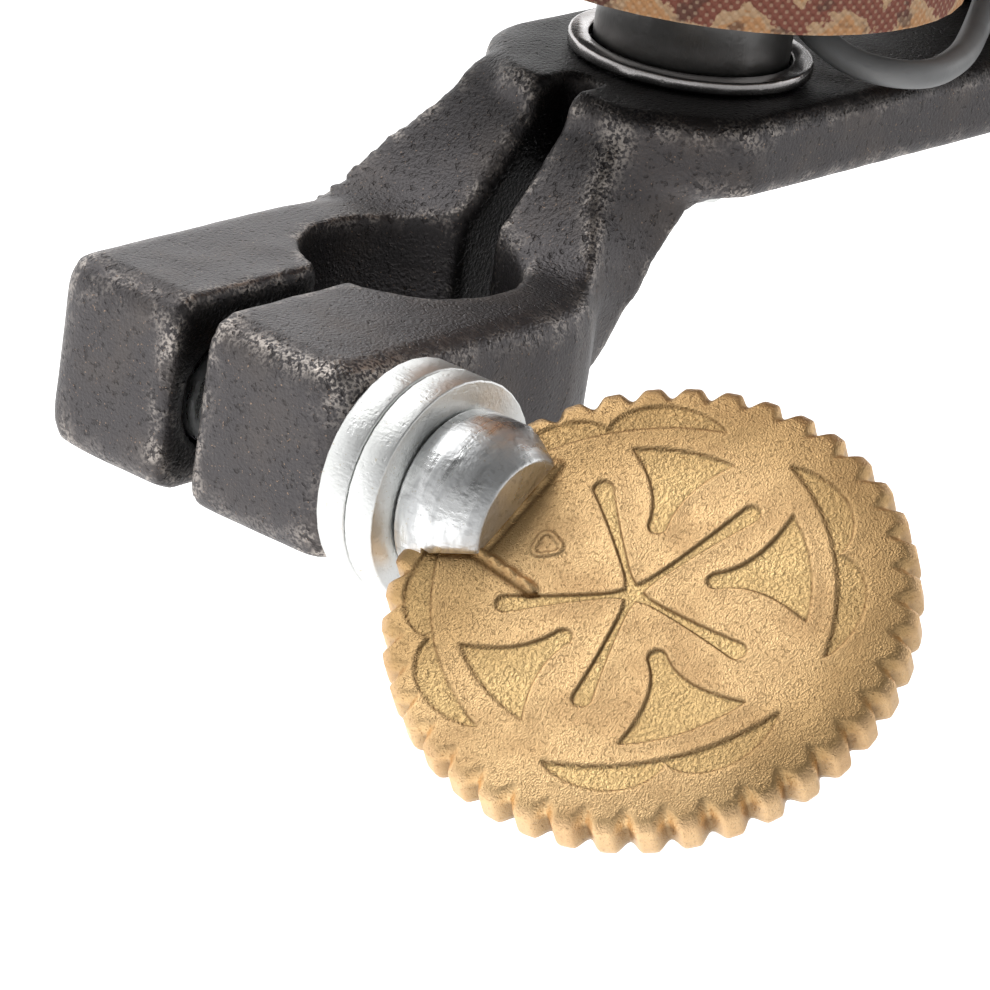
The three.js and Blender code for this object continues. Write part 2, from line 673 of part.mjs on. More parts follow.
// the iron bar over the cores, with the side nipple that the needle bar hooks on
function armatureBar() {
  const outline = roundedOutline([
    [-ARMATURE_W / 2, barBack, ARMATURE_ROUND / 2],
    [-ARMATURE_W / 2, barFront + ARMATURE_TAPER, ARMATURE_ROUND],
    [-ARMATURE_W / 4, barFront, ARMATURE_ROUND],
    [ARMATURE_W / 4, barFront, ARMATURE_ROUND],
    [ARMATURE_W / 2, barFront + ARMATURE_TAPER, ARMATURE_ROUND],
    [ARMATURE_W / 2, barBack, ARMATURE_ROUND / 2],
  ]);
  const bar = solid(slab(outline, barBottom, barTop, ARMATURE_CHAMFER));
  const nippleEnd = ARMATURE_W / 4 + NIPPLE_OUT;
  const nipple = turned([
    [0, 0],
    [NIPPLE_D / 2, 0],
    [NIPPLE_D / 2, nippleEnd - ARMATURE_CHAMFER],
    [NIPPLE_D / 2 - ARMATURE_CHAMFER, nippleEnd],
    [0, nippleEnd],
  ]);
  nipple.rotateY(Math.PI / 2).translate(0, barFront + NIPPLE_BACK, barBottom + ARMATURE_T / 2);
  const hole = moved(rod(screwHole, barTop - SCREW_BITE - SPRING_GAP, barTop + 1), 0, SPRING_SCREW_Y, 0);
  return geometryOf(bar.add(solid(nipple)).subtract(solid(hole)));
}

// flat spring from the deck to the bar
function rearSpring() {
  const half = SPRING_W / 2;
  const outline = roundedOutline([
    [-half, SPRING_SCREW_Y - SPRING_OVERHANG, SPRING_ROUND],
    [half, SPRING_SCREW_Y - SPRING_OVERHANG, SPRING_ROUND],
    [half, clampY + REAR_SPRING_TAIL, SPRING_ROUND / 2],
    [-half, clampY + REAR_SPRING_TAIL, SPRING_ROUND / 2],
  ]);
  const strip = solid(slab(outline, springBottom, springTop, 0));
  const clampHole = moved(rod(screwHole, springBottom - 1, springTop + 1), 0, clampY, 0);
  const barHole = moved(rod(screwHole, springBottom - 1, springTop + 1), 0, SPRING_SCREW_Y, 0);
  return geometryOf(strip.subtract(solid(clampHole)).subtract(solid(barHole)));
}

// front spring: flat under its screw, then swept up to the contact screw and level at the tip
const frontSpringLow = springTop + SEAT;

function frontSpring() {
  const back = SPRING_SCREW_Y + SPRING_OVERHANG;
  const bend = SPRING_SCREW_Y - SPRING_OVERHANG;
  const level = CONTACT_Y + TIP_BEHIND;
  const tip = CONTACT_Y - TIP_AHEAD;
  const middle = (bend + level) / 2;
  const low = frontSpringLow;
  const high = low + SPRING_LIFT;
  const outline = new THREE.Shape();
  outline.moveTo(back, low);
  outline.lineTo(back, low + SPRING_T);
  outline.lineTo(bend, low + SPRING_T);
  outline.bezierCurveTo(middle, low + SPRING_T, middle, high + SPRING_T, level, high + SPRING_T);
  outline.lineTo(tip, high + SPRING_T);
  outline.lineTo(tip, high);
  outline.lineTo(level, high);
  outline.bezierCurveTo(middle, high, middle, low, bend, low);
  outline.closePath();
  const width = SPRING_W - SPRING_STEP;
  const strip = new THREE.ExtrudeGeometry(outline, { depth: width, bevelEnabled: false, curveSegments: 8 });
  const body = solid(moved(alongX(strip), -width / 2, 0, 0));
  const hole = moved(rod(screwHole, low - 1, low + 2), 0, SPRING_SCREW_Y, 0);
  return geometryOf(body.subtract(solid(hole)));
}

// a slotted pan head screw standing on height z, going down by reach
function panScrew(z, reach) {
  const head = SMALL_HEAD_D / 2;
  const shank = SMALL_SCREW_D / 2;
  const body = turned([
    [0, z - reach],
    [shank, z - reach],
    [shank, z],
    [head, z],
    [head, z + SMALL_HEAD_H - SMALL_HEAD_CHAMFER],
    [head - SMALL_HEAD_CHAMFER, z + SMALL_HEAD_H],
    [0, z + SMALL_HEAD_H],
  ]);
  const slotHalf = SMALL_SLOT_WIDTH / 2;
  const top = z + SMALL_HEAD_H;
  const slot = box(-head - 1, head + 1, -slotHalf, slotHalf, top - SMALL_SLOT_DEPTH, top + 1);
  return solid(body).subtract(solid(slot));
}

const barWasher = frontSpringLow + SPRING_T + SEAT;
const barHead = barWasher + SMALL_WASHER_T + SEAT;
const clampWasher = springTop + SPRING_GAP;
const clampHead = clampWasher + SMALL_WASHER_T + SEAT;

part("armature_bar", armatureBar(), DARK_STEEL());
part("rear_spring", rearSpring(), SPRING_STEEL());
part("front_spring", frontSpring(), SPRING_STEEL());
const smallRing = (z) => ring(SMALL_HEAD_D / 2 + SMALL_WASHER_RIM, screwHole, z, z + SMALL_WASHER_T);
part("armature_washer", moved(smallRing(barWasher), 0, SPRING_SCREW_Y, 0), ZINC());
const barScrew = geometryOf(panScrew(barHead, barHead - barTop + SCREW_BITE));
part("armature_screw", moved(barScrew, 0, SPRING_SCREW_Y, 0), ZINC());
part("spring_clamp_washer", moved(smallRing(clampWasher), 0, clampY, 0), ZINC());
const clampScrew = geometryOf(panScrew(clampHead, clampHead - deckTop + SCREW_BITE));
part("spring_clamp_screw", moved(clampScrew, 0, clampY, 0), ZINC());

// ---------------------------------------------------------------- front binding post

// the post and its fittings lie along +X through the eye of the arm
const postAxis = new THREE.Group();
postAxis.position.set(0, CONTACT_Y, postZ);
postAxis.rotation.y = Math.PI / 2;
machine.add(postAxis);

const postR = POST_D / 2;
const flangeR = postR + BUSH_WALL + BUSH_RIM;
const innerFlange = -ARM_INNER + SEAT;
const outerFlange = armLeft - SEAT;
const sleeveMiddle = (armLeft - ARM_INNER) / 2;
const nutSide = outerFlange - BUSH_T - SEAT;
const lugSide = nutSide - LUG_T - SEAT;
const postLeft = lugSide - NUT_T - POST_NUT_PROUD;

// flanged insulating bush: a flange against the arm and a sleeve into the eye
function flangedBush(bore, wall, flange, face, out, inside) {
  const sign = Math.sign(out);
  const low = Math.min(face, face + sign * BUSH_T);
  const disc = solid(ring(flange, bore, low, low + BUSH_T));
  const from = Math.min(inside, face + sign * BUSH_T * 0.5);
  const to = Math.max(inside, face + sign * BUSH_T * 0.5);
  return geometryOf(disc.add(solid(ring(bore + wall, bore, from, to))));
}

function frontPost() {
  const body = solid(
    turned([
      [0, postLeft],
      [postR - POST_CHAMFER, postLeft],
      [postR, postLeft + POST_CHAMFER],
      [postR, POST_RIGHT - POST_CHAMFER],
      [postR - POST_CHAMFER, POST_RIGHT],
      [0, POST_RIGHT],
    ]),
  );
  const contactHole = rod(CONTACT_D / 2 + FIT, -postR - 1, postR + 1).rotateY(Math.PI / 2);
  const clampHole = rod(SMALL_SCREW_D / 2 + FIT, CONTACT_D / 2, POST_RIGHT + 1);
  return geometryOf(body.subtract(solid(contactHole)).subtract(solid(clampHole)));
}

// knurled head on a shank, along +Z, with the shank going down from height z
function thumbKnob(z, reach, shank, headD, headL) {
  const outline = new THREE.Shape();
  for (let i = 0; i < KNOB_RIBS * 2; i++) {
    const turn = (i * Math.PI) / KNOB_RIBS;
    const radius = headD / 2 - (i % 2 ? RIB_DEPTH : 0);
    const place = [radius * Math.cos(turn), radius * Math.sin(turn)];
    if (i === 0) outline.moveTo(...place);
    else outline.lineTo(...place);
  }
  outline.closePath();
  const head = solid(slab(outline, z, z + headL, KNOB_CHAMFER));
  return head.add(solid(rod(shank / 2, z - reach, z + headL / 2)));
}

part("front_post", frontPost(), BRASS(), postAxis);
const bushBore = postR + FIT;
const bushWall = BUSH_WALL - FIT / 2;
const innerBush = flangedBush(bushBore, bushWall, flangeR, innerFlange, 1, sleeveMiddle + SEAT);
const outerBush = flangedBush(bushBore, bushWall, flangeR, outerFlange, -1, sleeveMiddle - SEAT);
part("front_post_bush_inner", innerBush, NYLON(), postAxis);
part("front_post_bush_outer", outerBush, NYLON(), postAxis);
const postNut = hexNut(POST_D + 2 * POST_NUT_WALL, POST_D + 2 * FIT, lugSide - NUT_T, lugSide);
part("front_post_nut", postNut, ZINC(), postAxis);

// solder lug: a ring with a tail, clamped under a nut
function lug(bore, outer, tail, z) {
  const outline = new THREE.Shape();
  const neckHalf = LUG_NECK / 2;
  const start = Math.asin(neckHalf / outer);
  outline.absarc(0, 0, outer, start, Math.PI * 2 - start, false);
  outline.lineTo(outer + tail, -neckHalf);
  outline.lineTo(outer + tail, neckHalf);
  outline.closePath();
  const hole = new THREE.Path();
  hole.absarc(0, 0, bore, 0, Math.PI * 2, true);
  outline.holes.push(hole);
  const plate = new THREE.ExtrudeGeometry(outline, { depth: LUG_T, bevelEnabled: false, curveSegments: 12 });
  return plate.translate(0, 0, z);
}

const postLug = lug(postR + FIT, postR + POST_LUG_RIM, POST_LUG_TAIL, nutSide - LUG_T);
part("front_post_lug", postLug, BRIGHT_STEEL(), postAxis);
const clampKnobFace = POST_RIGHT + CLAMP_KNOB_OUT;
const clampReach = clampKnobFace - CONTACT_D / 2 - CLAMP_SCREW_PLAY;
const clampKnob = thumbKnob(clampKnobFace, clampReach, SMALL_SCREW_D, CLAMP_KNOB_D, CLAMP_KNOB_L);
part("contact_clamp_knob", geometryOf(clampKnob), BRASS(), postAxis);

const contactLow = tipZ + CONTACT_GAP;
const contactBody = contactLow + CONTACT_TIP_L + SEAT;
const contactKnob = postZ + postR + CONTACT_RISE;
const contactAxis = new THREE.Group();
contactAxis.position.y = CONTACT_Y;
machine.add(contactAxis);
const contactTip = rod(CONTACT_TIP_D / 2, contactLow, contactLow + CONTACT_TIP_L);
part("contact_tip", contactTip, BRIGHT_STEEL(), contactAxis);
const contactReach = contactKnob - contactBody;
const contactScrew = thumbKnob(contactKnob, contactReach, CONTACT_D, CONTACT_KNOB_D, CONTACT_KNOB_H);
part("contact_screw", geometryOf(contactScrew), BRASS(), contactAxis);

// ---------------------------------------------------------------- rear binding posts

// a clip cord post on the back of the upright, made along +Z and laid along +Y
function rearPost(name, z, insulated) {
  const stand = new THREE.Group();
  stand.position.set(0, uprightY, z);
  stand.rotation.x = -Math.PI / 2;
  machine.add(stand);
  const stud = POST_STUD_D / 2;
  const bush = insulated ? BUSH_T + SEAT : 0;
  const inner = -bush - SEAT;
  const nutFace = insulated ? inner - LUG_T - SEAT : inner;
  const base = UPRIGHT_T + bush + SEAT;
  const body = solid(
    turned([
      [0, nutFace - NUT_T - POST_STUD_PROUD],
      [stud, nutFace - NUT_T - POST_STUD_PROUD],
      [stud, base],
      [REAR_POST_D / 2, base],
      [REAR_POST_D / 2, base + REAR_POST_L - POST_CHAMFER],
      [REAR_POST_D / 2 - POST_CHAMFER, base + REAR_POST_L],
      [0, base + REAR_POST_L],
    ]),
  );
  const hole = rod(CLIP_HOLE_D / 2, -REAR_POST_D, REAR_POST_D).rotateY(Math.PI / 2);
  const clip = solid(moved(hole, 0, 0, base + REAR_POST_L * CLIP_HOLE_SHARE));
  part(name, geometryOf(body.subtract(clip)), BRASS(), stand);
  part(`${name}_nut`, hexNut(NUT_ACROSS, POST_STUD_D + 2 * FIT, nutFace - NUT_T, nutFace), ZINC(), stand);
  if (!insulated) return;
  const wall = BUSH_WALL - FIT / 2;
  const bore = stud + FIT;
  const flange = bore + REAR_BUSH_RIM;
  const outer = flangedBush(bore, wall, flange, UPRIGHT_T + SEAT, 1, UPRIGHT_T / 2 + SEAT);
  const inside = flangedBush(bore, wall, flange, -SEAT, -1, UPRIGHT_T / 2 - SEAT);
  part(`${name}_bush_outer`, outer, NYLON(), stand);
  part(`${name}_bush_inner`, inside, NYLON(), stand);
  const tag = lug(bore, stud + REAR_LUG_RIM, REAR_LUG_TAIL, 0).rotateZ(Math.PI);
  part(`${name}_lug`, moved(tag, 0, 0, inner - LUG_T), BRIGHT_STEEL(), stand);
}

rearPost("rear_post_upper", REAR_POST_LOW + REAR_POST_RISE, false);
rearPost("rear_post_lower", REAR_POST_LOW, true);

// ---------------------------------------------------------------- wiring

// sleeved lead that joins the two coils and bows out over the right edge of the shelf
const coilLinkLead = [
  [-3.4, 20.4, 9.6],
  [-2.0, 20.6, 7.8],
  [1.2, 20.0, 6.95],
  [3.6, 18.45, 6.85],
  [5.0, 18.6, 6.35],
  [6.4, 19.2, 6.2],
  [7.3, 20.4, 6.2],
  [6.9, 23.0, 6.2],
  [4.8, 27.4, 6.3],
  [3.7, 29.7, 7.6],
  [3.5, 30.4, 9.6],
];
part("coil_link_lead", wire(coilLinkLead, LEAD_D), SLEEVE());

// lead from the front coil up to the tag of the front binding post
const frontCoilLead = [
  [-5.2, 21.2, 9.6],
  [-5.2, 22.4, 8.0],
  [-5.1, 25.0, 8.4],
  [-5.0, 26.2, 11.5],
  [-5.0, 26.2, 24.0],
  [-5.0, 26.2, 36.0],
  [-7.0, 26.0, 41.5],
  [-11.0, 24.2, 45.0],
  [-12.5, 20.6, 47.0],
  [-12.42, 18.7, 49.0],
  [-12.42, 18.6, 50.9],
];
part("front_coil_lead", wire(frontCoilLead, LEAD_D, 44), SLEEVE());

// lead from the rear coil, past its core, to the tag of the lower rear post
const rearCoilLead = [
  [-5.2, 30.7, 9.6],
  [-5.5, 31.4, 7.8],
  [-5.8, 33.5, 7.3],
  [-5.8, 41.0, 7.3],
  [-5.9, 47.0, 8.0],
  [-6.9, 49.8, 10.2],
  [-6.9, 50.36, 12.4],
  [-5.75, 50.36, 13.0],
];
part("rear_coil_lead", wire(rearCoilLead, LEAD_D), SLEEVE());

// axial capacitor between the coils, with a bare leg to each of those leads
const capacitorY = (FRONT_COIL_Y + rearCoilY) / 2;
const capacitorX = -Math.sqrt((coilR + CAP_D / 2 + CAP_CLEAR) ** 2 - (capacitorY - FRONT_COIL_Y) ** 2);
const capacitorTopLeg = [
  [0, 0, CAP_L - 1],
  [0, 0, 15.5],
  [0.2, 0, 21.5],
  [1.2, -0.1, 25.5],
];
const capacitorLowLeg = [
  [0, 0, 0.5],
  [0.1, 0.2, -2.5],
  [0.8, 1.2, -5.5],
  [2.4, 3.4, -6.9],
];

function capacitor() {
  const half = CAP_D / 2;
  const can = turned([
    [0, 0],
    [half - CAP_CHAMFER, 0],
    [half, CAP_CHAMFER],
    [half, CAP_L - CAP_CHAMFER],
    [half - CAP_CHAMFER, CAP_L],
    [0, CAP_L],
  ]);
  const legs = solid(wire(capacitorTopLeg, CAP_LEG_D, 12)).add(solid(wire(capacitorLowLeg, CAP_LEG_D, 12)));
  return moved(geometryOf(solid(can).add(legs)), capacitorX, capacitorY, CAP_Z);
}

part("capacitor", capacitor(), CAN());

export default machine;
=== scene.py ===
# %% [markdown]
# # Coil machine: a close look at its tube vise
# This lesson dresses a machine whose sizes are already fixed. Lengths are in metres,
# so a millimetre is a named value.

# %% Load the machine
import json
import math

import bmesh
import bpy
import numpy as np
from mathutils import Matrix, Vector, noise
from mathutils.bvhtree import BVHTree


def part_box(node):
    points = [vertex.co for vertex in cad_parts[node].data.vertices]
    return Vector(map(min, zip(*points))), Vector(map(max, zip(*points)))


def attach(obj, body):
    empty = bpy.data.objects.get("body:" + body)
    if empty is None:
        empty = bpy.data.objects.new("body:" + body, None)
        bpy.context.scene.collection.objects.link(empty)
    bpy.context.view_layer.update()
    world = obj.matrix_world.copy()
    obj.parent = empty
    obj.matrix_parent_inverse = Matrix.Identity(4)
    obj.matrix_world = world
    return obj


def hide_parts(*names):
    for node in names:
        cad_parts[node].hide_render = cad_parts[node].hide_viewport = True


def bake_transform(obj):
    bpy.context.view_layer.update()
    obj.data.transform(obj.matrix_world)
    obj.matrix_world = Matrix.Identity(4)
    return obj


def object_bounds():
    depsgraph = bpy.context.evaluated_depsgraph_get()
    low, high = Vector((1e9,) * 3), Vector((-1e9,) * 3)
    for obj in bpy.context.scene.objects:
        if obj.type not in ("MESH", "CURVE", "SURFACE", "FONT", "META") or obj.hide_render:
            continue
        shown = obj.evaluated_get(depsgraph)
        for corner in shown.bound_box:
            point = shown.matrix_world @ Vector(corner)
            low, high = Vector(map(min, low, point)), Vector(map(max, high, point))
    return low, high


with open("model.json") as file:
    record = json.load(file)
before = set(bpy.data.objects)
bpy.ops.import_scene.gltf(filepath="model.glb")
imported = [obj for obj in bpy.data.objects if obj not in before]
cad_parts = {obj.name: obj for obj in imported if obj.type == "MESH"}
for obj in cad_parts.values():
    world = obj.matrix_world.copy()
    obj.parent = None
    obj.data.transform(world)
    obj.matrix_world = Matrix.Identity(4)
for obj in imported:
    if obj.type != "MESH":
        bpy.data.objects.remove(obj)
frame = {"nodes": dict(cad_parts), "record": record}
MM = 0.001
cad_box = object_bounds()
body_of_node = {
    node: body
    for body, nodes in frame["record"]["behaviour"]["bodies"].items()
    for node in nodes
}

# %% [markdown]
# ## Camera
# A long lens keeps small metal parts free of perspective stretch. The camera stands to the
# right of the vise and a little above it, and is rolled so that the bore leans right. Its
# turn is built from azimuth, elevation and roll, which are easier to read than a matrix.

# %% Place the camera
AZIMUTH = math.radians(37.33)
ELEVATION = math.radians(21.72)
ROLL = math.radians(8.47)
DISTANCE = 200 * MM
LOOK_AT = Vector((6.795, -1.835, -6.686)) * MM


def place_camera():
    """A 200 mm lens on a 36 mm sensor, turned about the point it looks at."""
    data = bpy.data.cameras.new("long_lens")
    data.lens = 200
    data.sensor_width = 36
    data.clip_start = 0.01
    camera = bpy.data.objects.new("long_lens", data)
    bpy.context.scene.collection.objects.link(camera)
    back = Vector(
        (
            math.sin(AZIMUTH) * math.cos(ELEVATION),
            -math.cos(AZIMUTH) * math.cos(ELEVATION),
            math.sin(ELEVATION),
        )
    )
    level = Vector((math.cos(AZIMUTH), math.sin(AZIMUTH), 0))
    right = Matrix.Rotation(ROLL, 3, back) @ level
    turn = Matrix((right, back.cross(right), back)).transposed()
    camera.matrix_world = Matrix.Translation(LOOK_AT + back * DISTANCE) @ turn.to_4x4()
    bpy.context.scene.camera = camera
    return camera


camera = place_camera()
print("camera at", [round(v / MM, 1) for v in camera.location], "mm")

# %% [markdown]
# ## Light and floor
# Small polished parts show best in a white tent. The world gives the even white, and what
# the metal sees of it is bright at the back left and dim overhead. A large soft light from
# the upper left gives the form. The floor lies well below the machine, because its vise is
# held by a tube, and it is white to the eye but falls off for metal that faces the far right.

# %% Light the set
TENT = {"From Min": 0.25, "From Max": 0.8, "To Min": 1.0, "To Max": 0.14}
BRIGHT_SIDE = (-0.6, 0.8, 0.0)
SIDES = {"From Min": -0.7, "From Max": 0.9, "To Min": 0.62, "To Max": 1.75}
TABLE_GLOW = 0.9
FAR_RIGHT = (0.8, 0.6, 0.0)
TABLE_FALL = {"From Min": -0.02, "From Max": 0.10, "To Min": 0.80, "To Max": 0.10}
FLOOR_DROP = 40 * MM
FLOOR_SIZE = 3.0


def soft_light(name, place, size, power):
    """A square light that faces the vise."""
    data = bpy.data.lights.new(name, "AREA")
    data.size = size
    data.energy = power
    light = bpy.data.objects.new(name, data)
    bpy.context.scene.collection.objects.link(light)
    light.location = place
    light.rotation_euler = (LOOK_AT - Vector(place)).to_track_quat("-Z", "Y").to_euler()
    return light


def white_tent():
    """Plain white to the eye; on the metal it is bright low down and dim overhead."""
    world = bpy.data.worlds.new("tent")
    bpy.context.scene.world = world
    world.use_nodes = True
    nodes, links = world.node_tree.nodes, world.node_tree.links
    path = nodes.new("ShaderNodeLightPath")
    way = nodes.new("ShaderNodeTexCoord")
    split = nodes.new("ShaderNodeSeparateXYZ")
    side = nodes.new("ShaderNodeVectorMath")
    side.operation = "DOT_PRODUCT"
    side.inputs[1].default_value = BRIGHT_SIDE
    height, turn = (nodes.new("ShaderNodeMapRange") for _ in range(2))
    for node, settings in ((height, TENT), (turn, SIDES)):
        node.interpolation_type = "SMOOTHSTEP"
        for label, value in settings.items():
            node.inputs[label].default_value = value
    both = nodes.new("ShaderNodeMath")
    both.operation = "MULTIPLY"
    level = nodes.new("ShaderNodeMix")
    level.inputs["B"].default_value = 1.2
    links.new(way.outputs["Generated"], split.inputs[0])
    links.new(split.outputs["Z"], height.inputs["Value"])
    links.new(way.outputs["Generated"], side.inputs[0])
    links.new(side.outputs["Value"], turn.inputs["Value"])
    links.new(height.outputs[0], both.inputs[0])
    links.new(turn.outputs[0], both.inputs[1])
    links.new(path.outputs["Is Camera Ray"], level.inputs["Factor"])
    links.new(both.outputs[0], level.inputs["A"])
    links.new(level.outputs[0], nodes["Background"].inputs["Strength"])
    nodes["Background"].inputs["Color"].default_value = (1, 1, 1, 1)


def pale_floor():
    """A plain white sheet under the machine."""
    mesh = bpy.data.meshes.new("floor")
    half = FLOOR_SIZE / 2
    low = cad_box[0][2] - FLOOR_DROP
    corners = [(-half, -half, low), (half, -half, low), (half, half, low), (-half, half, low)]
    mesh.from_pydata(corners, [], [(0, 1, 2, 3)])
    floor = bpy.data.objects.new("floor", mesh)
    bpy.context.scene.collection.objects.link(floor)
    sheet = bpy.data.materials.new("floor_sheet")
    sheet.use_nodes = True
    shader = sheet.node_tree.nodes["Principled BSDF"]
    shader.inputs["Base Color"].default_value = (0.94, 0.94, 0.94, 1)
    shader.inputs["Roughness"].default_value = 0.9
    shader.inputs["Emission Color"].default_value = (1, 1, 1, 1)
    nodes, links = sheet.node_tree.nodes, sheet.node_tree.links
    path = nodes.new("ShaderNodeLightPath")
    place = nodes.new("ShaderNodeTexCoord")
    side = nodes.new("ShaderNodeVectorMath")
    side.operation = "DOT_PRODUCT"
    side.inputs[1].default_value = FAR_RIGHT
    fall = nodes.new("ShaderNodeMapRange")
    for label, value in TABLE_FALL.items():
        fall.inputs[label].default_value = value
    level = nodes.new("ShaderNodeMix")
    level.inputs["B"].default_value = TABLE_GLOW
    links.new(place.outputs["Object"], side.inputs[0])
    links.new(side.outputs["Value"], fall.inputs["Value"])
    links.new(path.outputs["Is Camera Ray"], level.inputs["Factor"])
    links.new(fall.outputs[0], level.inputs["A"])
    links.new(level.outputs[0], shader.inputs["Emission Strength"])
    mesh.materials.append(sheet)
    return floor


white_tent()
pale_floor()
soft_light("upper_left", (-0.27, -0.06, 0.38), 0.34, 0.85)
bpy.context.scene.view_settings.view_transform = "Standard"

# %% [markdown]
# ## Shared shader groups
# Cast iron, zinc and antique brass all show grit, but at different sizes. A node group is
# built once and placed in each material with its own values. It reads Object coordinates,
# which are metres here, so its sizes are stated in millimetres and turned into a scale.

# %% Group: grit
def new_group(name, inputs, outputs):
    """An empty shader group with named sockets, and its own input and output nodes."""
    group = bpy.data.node_groups.new(name, "ShaderNodeTree")
    for label, value in inputs.items():
        kind = "NodeSocketVector" if label == "Vector" else "NodeSocketFloat"
        socket = group.interface.new_socket(label, in_out="INPUT", socket_type=kind)
        if kind == "NodeSocketFloat":
            socket.default_value = value
    for label in outputs:
        group.interface.new_socket(label, in_out="OUTPUT", socket_type="NodeSocketFloat")
    return group, group.nodes.new("NodeGroupInput"), group.nodes.new("NodeGroupOutput")


def maths(tree, operation, a, b):
    """One maths node; a and b are sockets or numbers."""
    node = tree.nodes.new("ShaderNodeMath")
    node.operation = operation
    for socket, value in zip(node.inputs, (a, b)):
        if isinstance(value, bpy.types.NodeSocket):
            tree.links.new(value, socket)
        else:
            socket.default_value = value
    return node.outputs[0]


def speckle(tree, vector, size, detail=2.0, stretch=None):
    """Noise whose features are about size millimetres across; size may be a socket."""
    if stretch:
        mapping = tree.nodes.new("ShaderNodeMapping")
        mapping.inputs["Scale"].default_value = stretch
        tree.links.new(vector, mapping.inputs["Vector"])
        vector = mapping.outputs[0]
    node = tree.nodes.new("ShaderNodeTexNoise")
    node.inputs["Detail"].default_value = detail
    tree.links.new(vector, node.inputs["Vector"])
    scale = maths(tree, "DIVIDE", 1 / MM, size)
    tree.links.new(scale, node.inputs["Scale"])
    return node.outputs[0]


def ramp(tree, value, low, high):
    """0 below low, 1 above high, with a soft step between."""
    node = tree.nodes.new("ShaderNodeMapRange")
    node.interpolation_type = "SMOOTHSTEP"
    tree.links.new(value, node.inputs["Value"])
    node.inputs["From Min"].default_value = low
    node.inputs["From Max"].default_value = high
    return node.outputs[0]


def grit_group():
    """Grain, pits and rare bright specks of a gritty surface."""
    group, given, result = new_group(
        "grit",
        {"Vector": None, "Grain": 0.25, "Patch": 2.0},
        ["Height", "Pits", "Specks", "Patches"],
    )
    vector, grain, patch = (given.outputs[n] for n in ("Vector", "Grain", "Patch"))
    fine = speckle(group, vector, grain, 3.0)
    pit = speckle(group, vector, maths(group, "MULTIPLY", grain, 2.1), 2.0)
    speck = speckle(group, vector, maths(group, "MULTIPLY", grain, 0.75), 1.0)
    pits = maths(group, "SUBTRACT", 1.0, ramp(group, pit, 0.30, 0.42))
    height = maths(group, "SUBTRACT", fine, maths(group, "MULTIPLY", pits, 0.55))
    group.links.new(height, result.inputs["Height"])
    group.links.new(pits, result.inputs["Pits"])
    group.links.new(ramp(group, speck, 0.70, 0.78), result.inputs["Specks"])
    group.links.new(speckle(group, vector, patch, 3.0), result.inputs["Patches"])
    return group


grit = grit_group()
print("grit gives", [s.name for s in grit.interface.items_tree if s.in_out == "OUTPUT"])

# %% [markdown]
# ## A short way to write materials
# Each material is one Principled shader. The class below keeps its node tree and gives the
# few things every finish needs: the grit group, a colour mix and a bump.

# %% Surface helper
class Surface:
    """A material and short ways to add nodes to it."""

    def __init__(self, name, colour, metallic, roughness):
        self.material = bpy.data.materials.new(name)
        self.material.use_nodes = True
        self.tree = self.material.node_tree
        self.shader = self.tree.nodes["Principled BSDF"]
        self.place = self.tree.nodes.new("ShaderNodeTexCoord").outputs["Object"]
        self.shader.inputs["Base Color"].default_value = (*colour, 1)
        self.shader.inputs["Metallic"].default_value = metallic
        self.shader.inputs["Roughness"].default_value = roughness
        self.colour = None

    def grit(self, grain, patch):
        """The grit group with this surface's own sizes."""
        node = self.tree.nodes.new("ShaderNodeGroup")
        node.node_tree = grit
        self.tree.links.new(self.place, node.inputs["Vector"])
        node.inputs["Grain"].default_value = grain
        node.inputs["Patch"].default_value = patch
        return node.outputs

    def speckle(self, size, detail=2.0, stretch=None):
        return speckle(self.tree, self.place, size, detail, stretch)

    def ramp(self, value, low, high):
        return ramp(self.tree, value, low, high)

    def maths(self, operation, a, b):
        return maths(self.tree, operation, a, b)

    def painted(self, name):
        """A value that was stored on the mesh's points."""
        node = self.tree.nodes.new("ShaderNodeAttribute")
        node.attribute_name = name
        return node.outputs["Fac"]

    def tint(self, mask, colour, strength=1.0):
        """Mixes another colour over what is there, where the mask is high."""
        node = self.tree.nodes.new("ShaderNodeMix")
        node.data_type = "RGBA"
        base = self.shader.inputs["Base Color"]
        if self.colour:
            self.tree.links.new(self.colour, node.inputs[6])
        else:
            node.inputs[6].default_value = base.default_value
        node.inputs[7].default_value = (*colour, 1)
        self.tree.links.new(self.maths("MULTIPLY", mask, strength), node.inputs[0])
        self.colour = node.outputs[2]
        self.tree.links.new(self.colour, base)

    def between(self, label, mask, low, high):
        """Sets a shader input to run from low to high with the mask."""
        node = self.tree.nodes.new("ShaderNodeMapRange")
        self.tree.links.new(mask, node.inputs["Value"])
        node.inputs["To Min"].default_value = low
        node.inputs["To Max"].default_value = high
        self.tree.links.new(node.outputs[0], self.shader.inputs[label])

    def bump(self, height, depth):
        """Raises the surface by up to depth millimetres."""
        node = self.tree.nodes.new("ShaderNodeBump")
        node.inputs["Distance"].default_value = depth * MM
        self.tree.links.new(height, node.inputs["Height"])
        self.tree.links.new(node.outputs[0], self.shader.inputs["Normal"])


# %% [markdown]
# ## Finishes
# The frame is sand-cast iron left raw: brown-grey, matte and gritty, with bright worn
# edges. Its wear follows an edge value that is stored on the mesh further down.

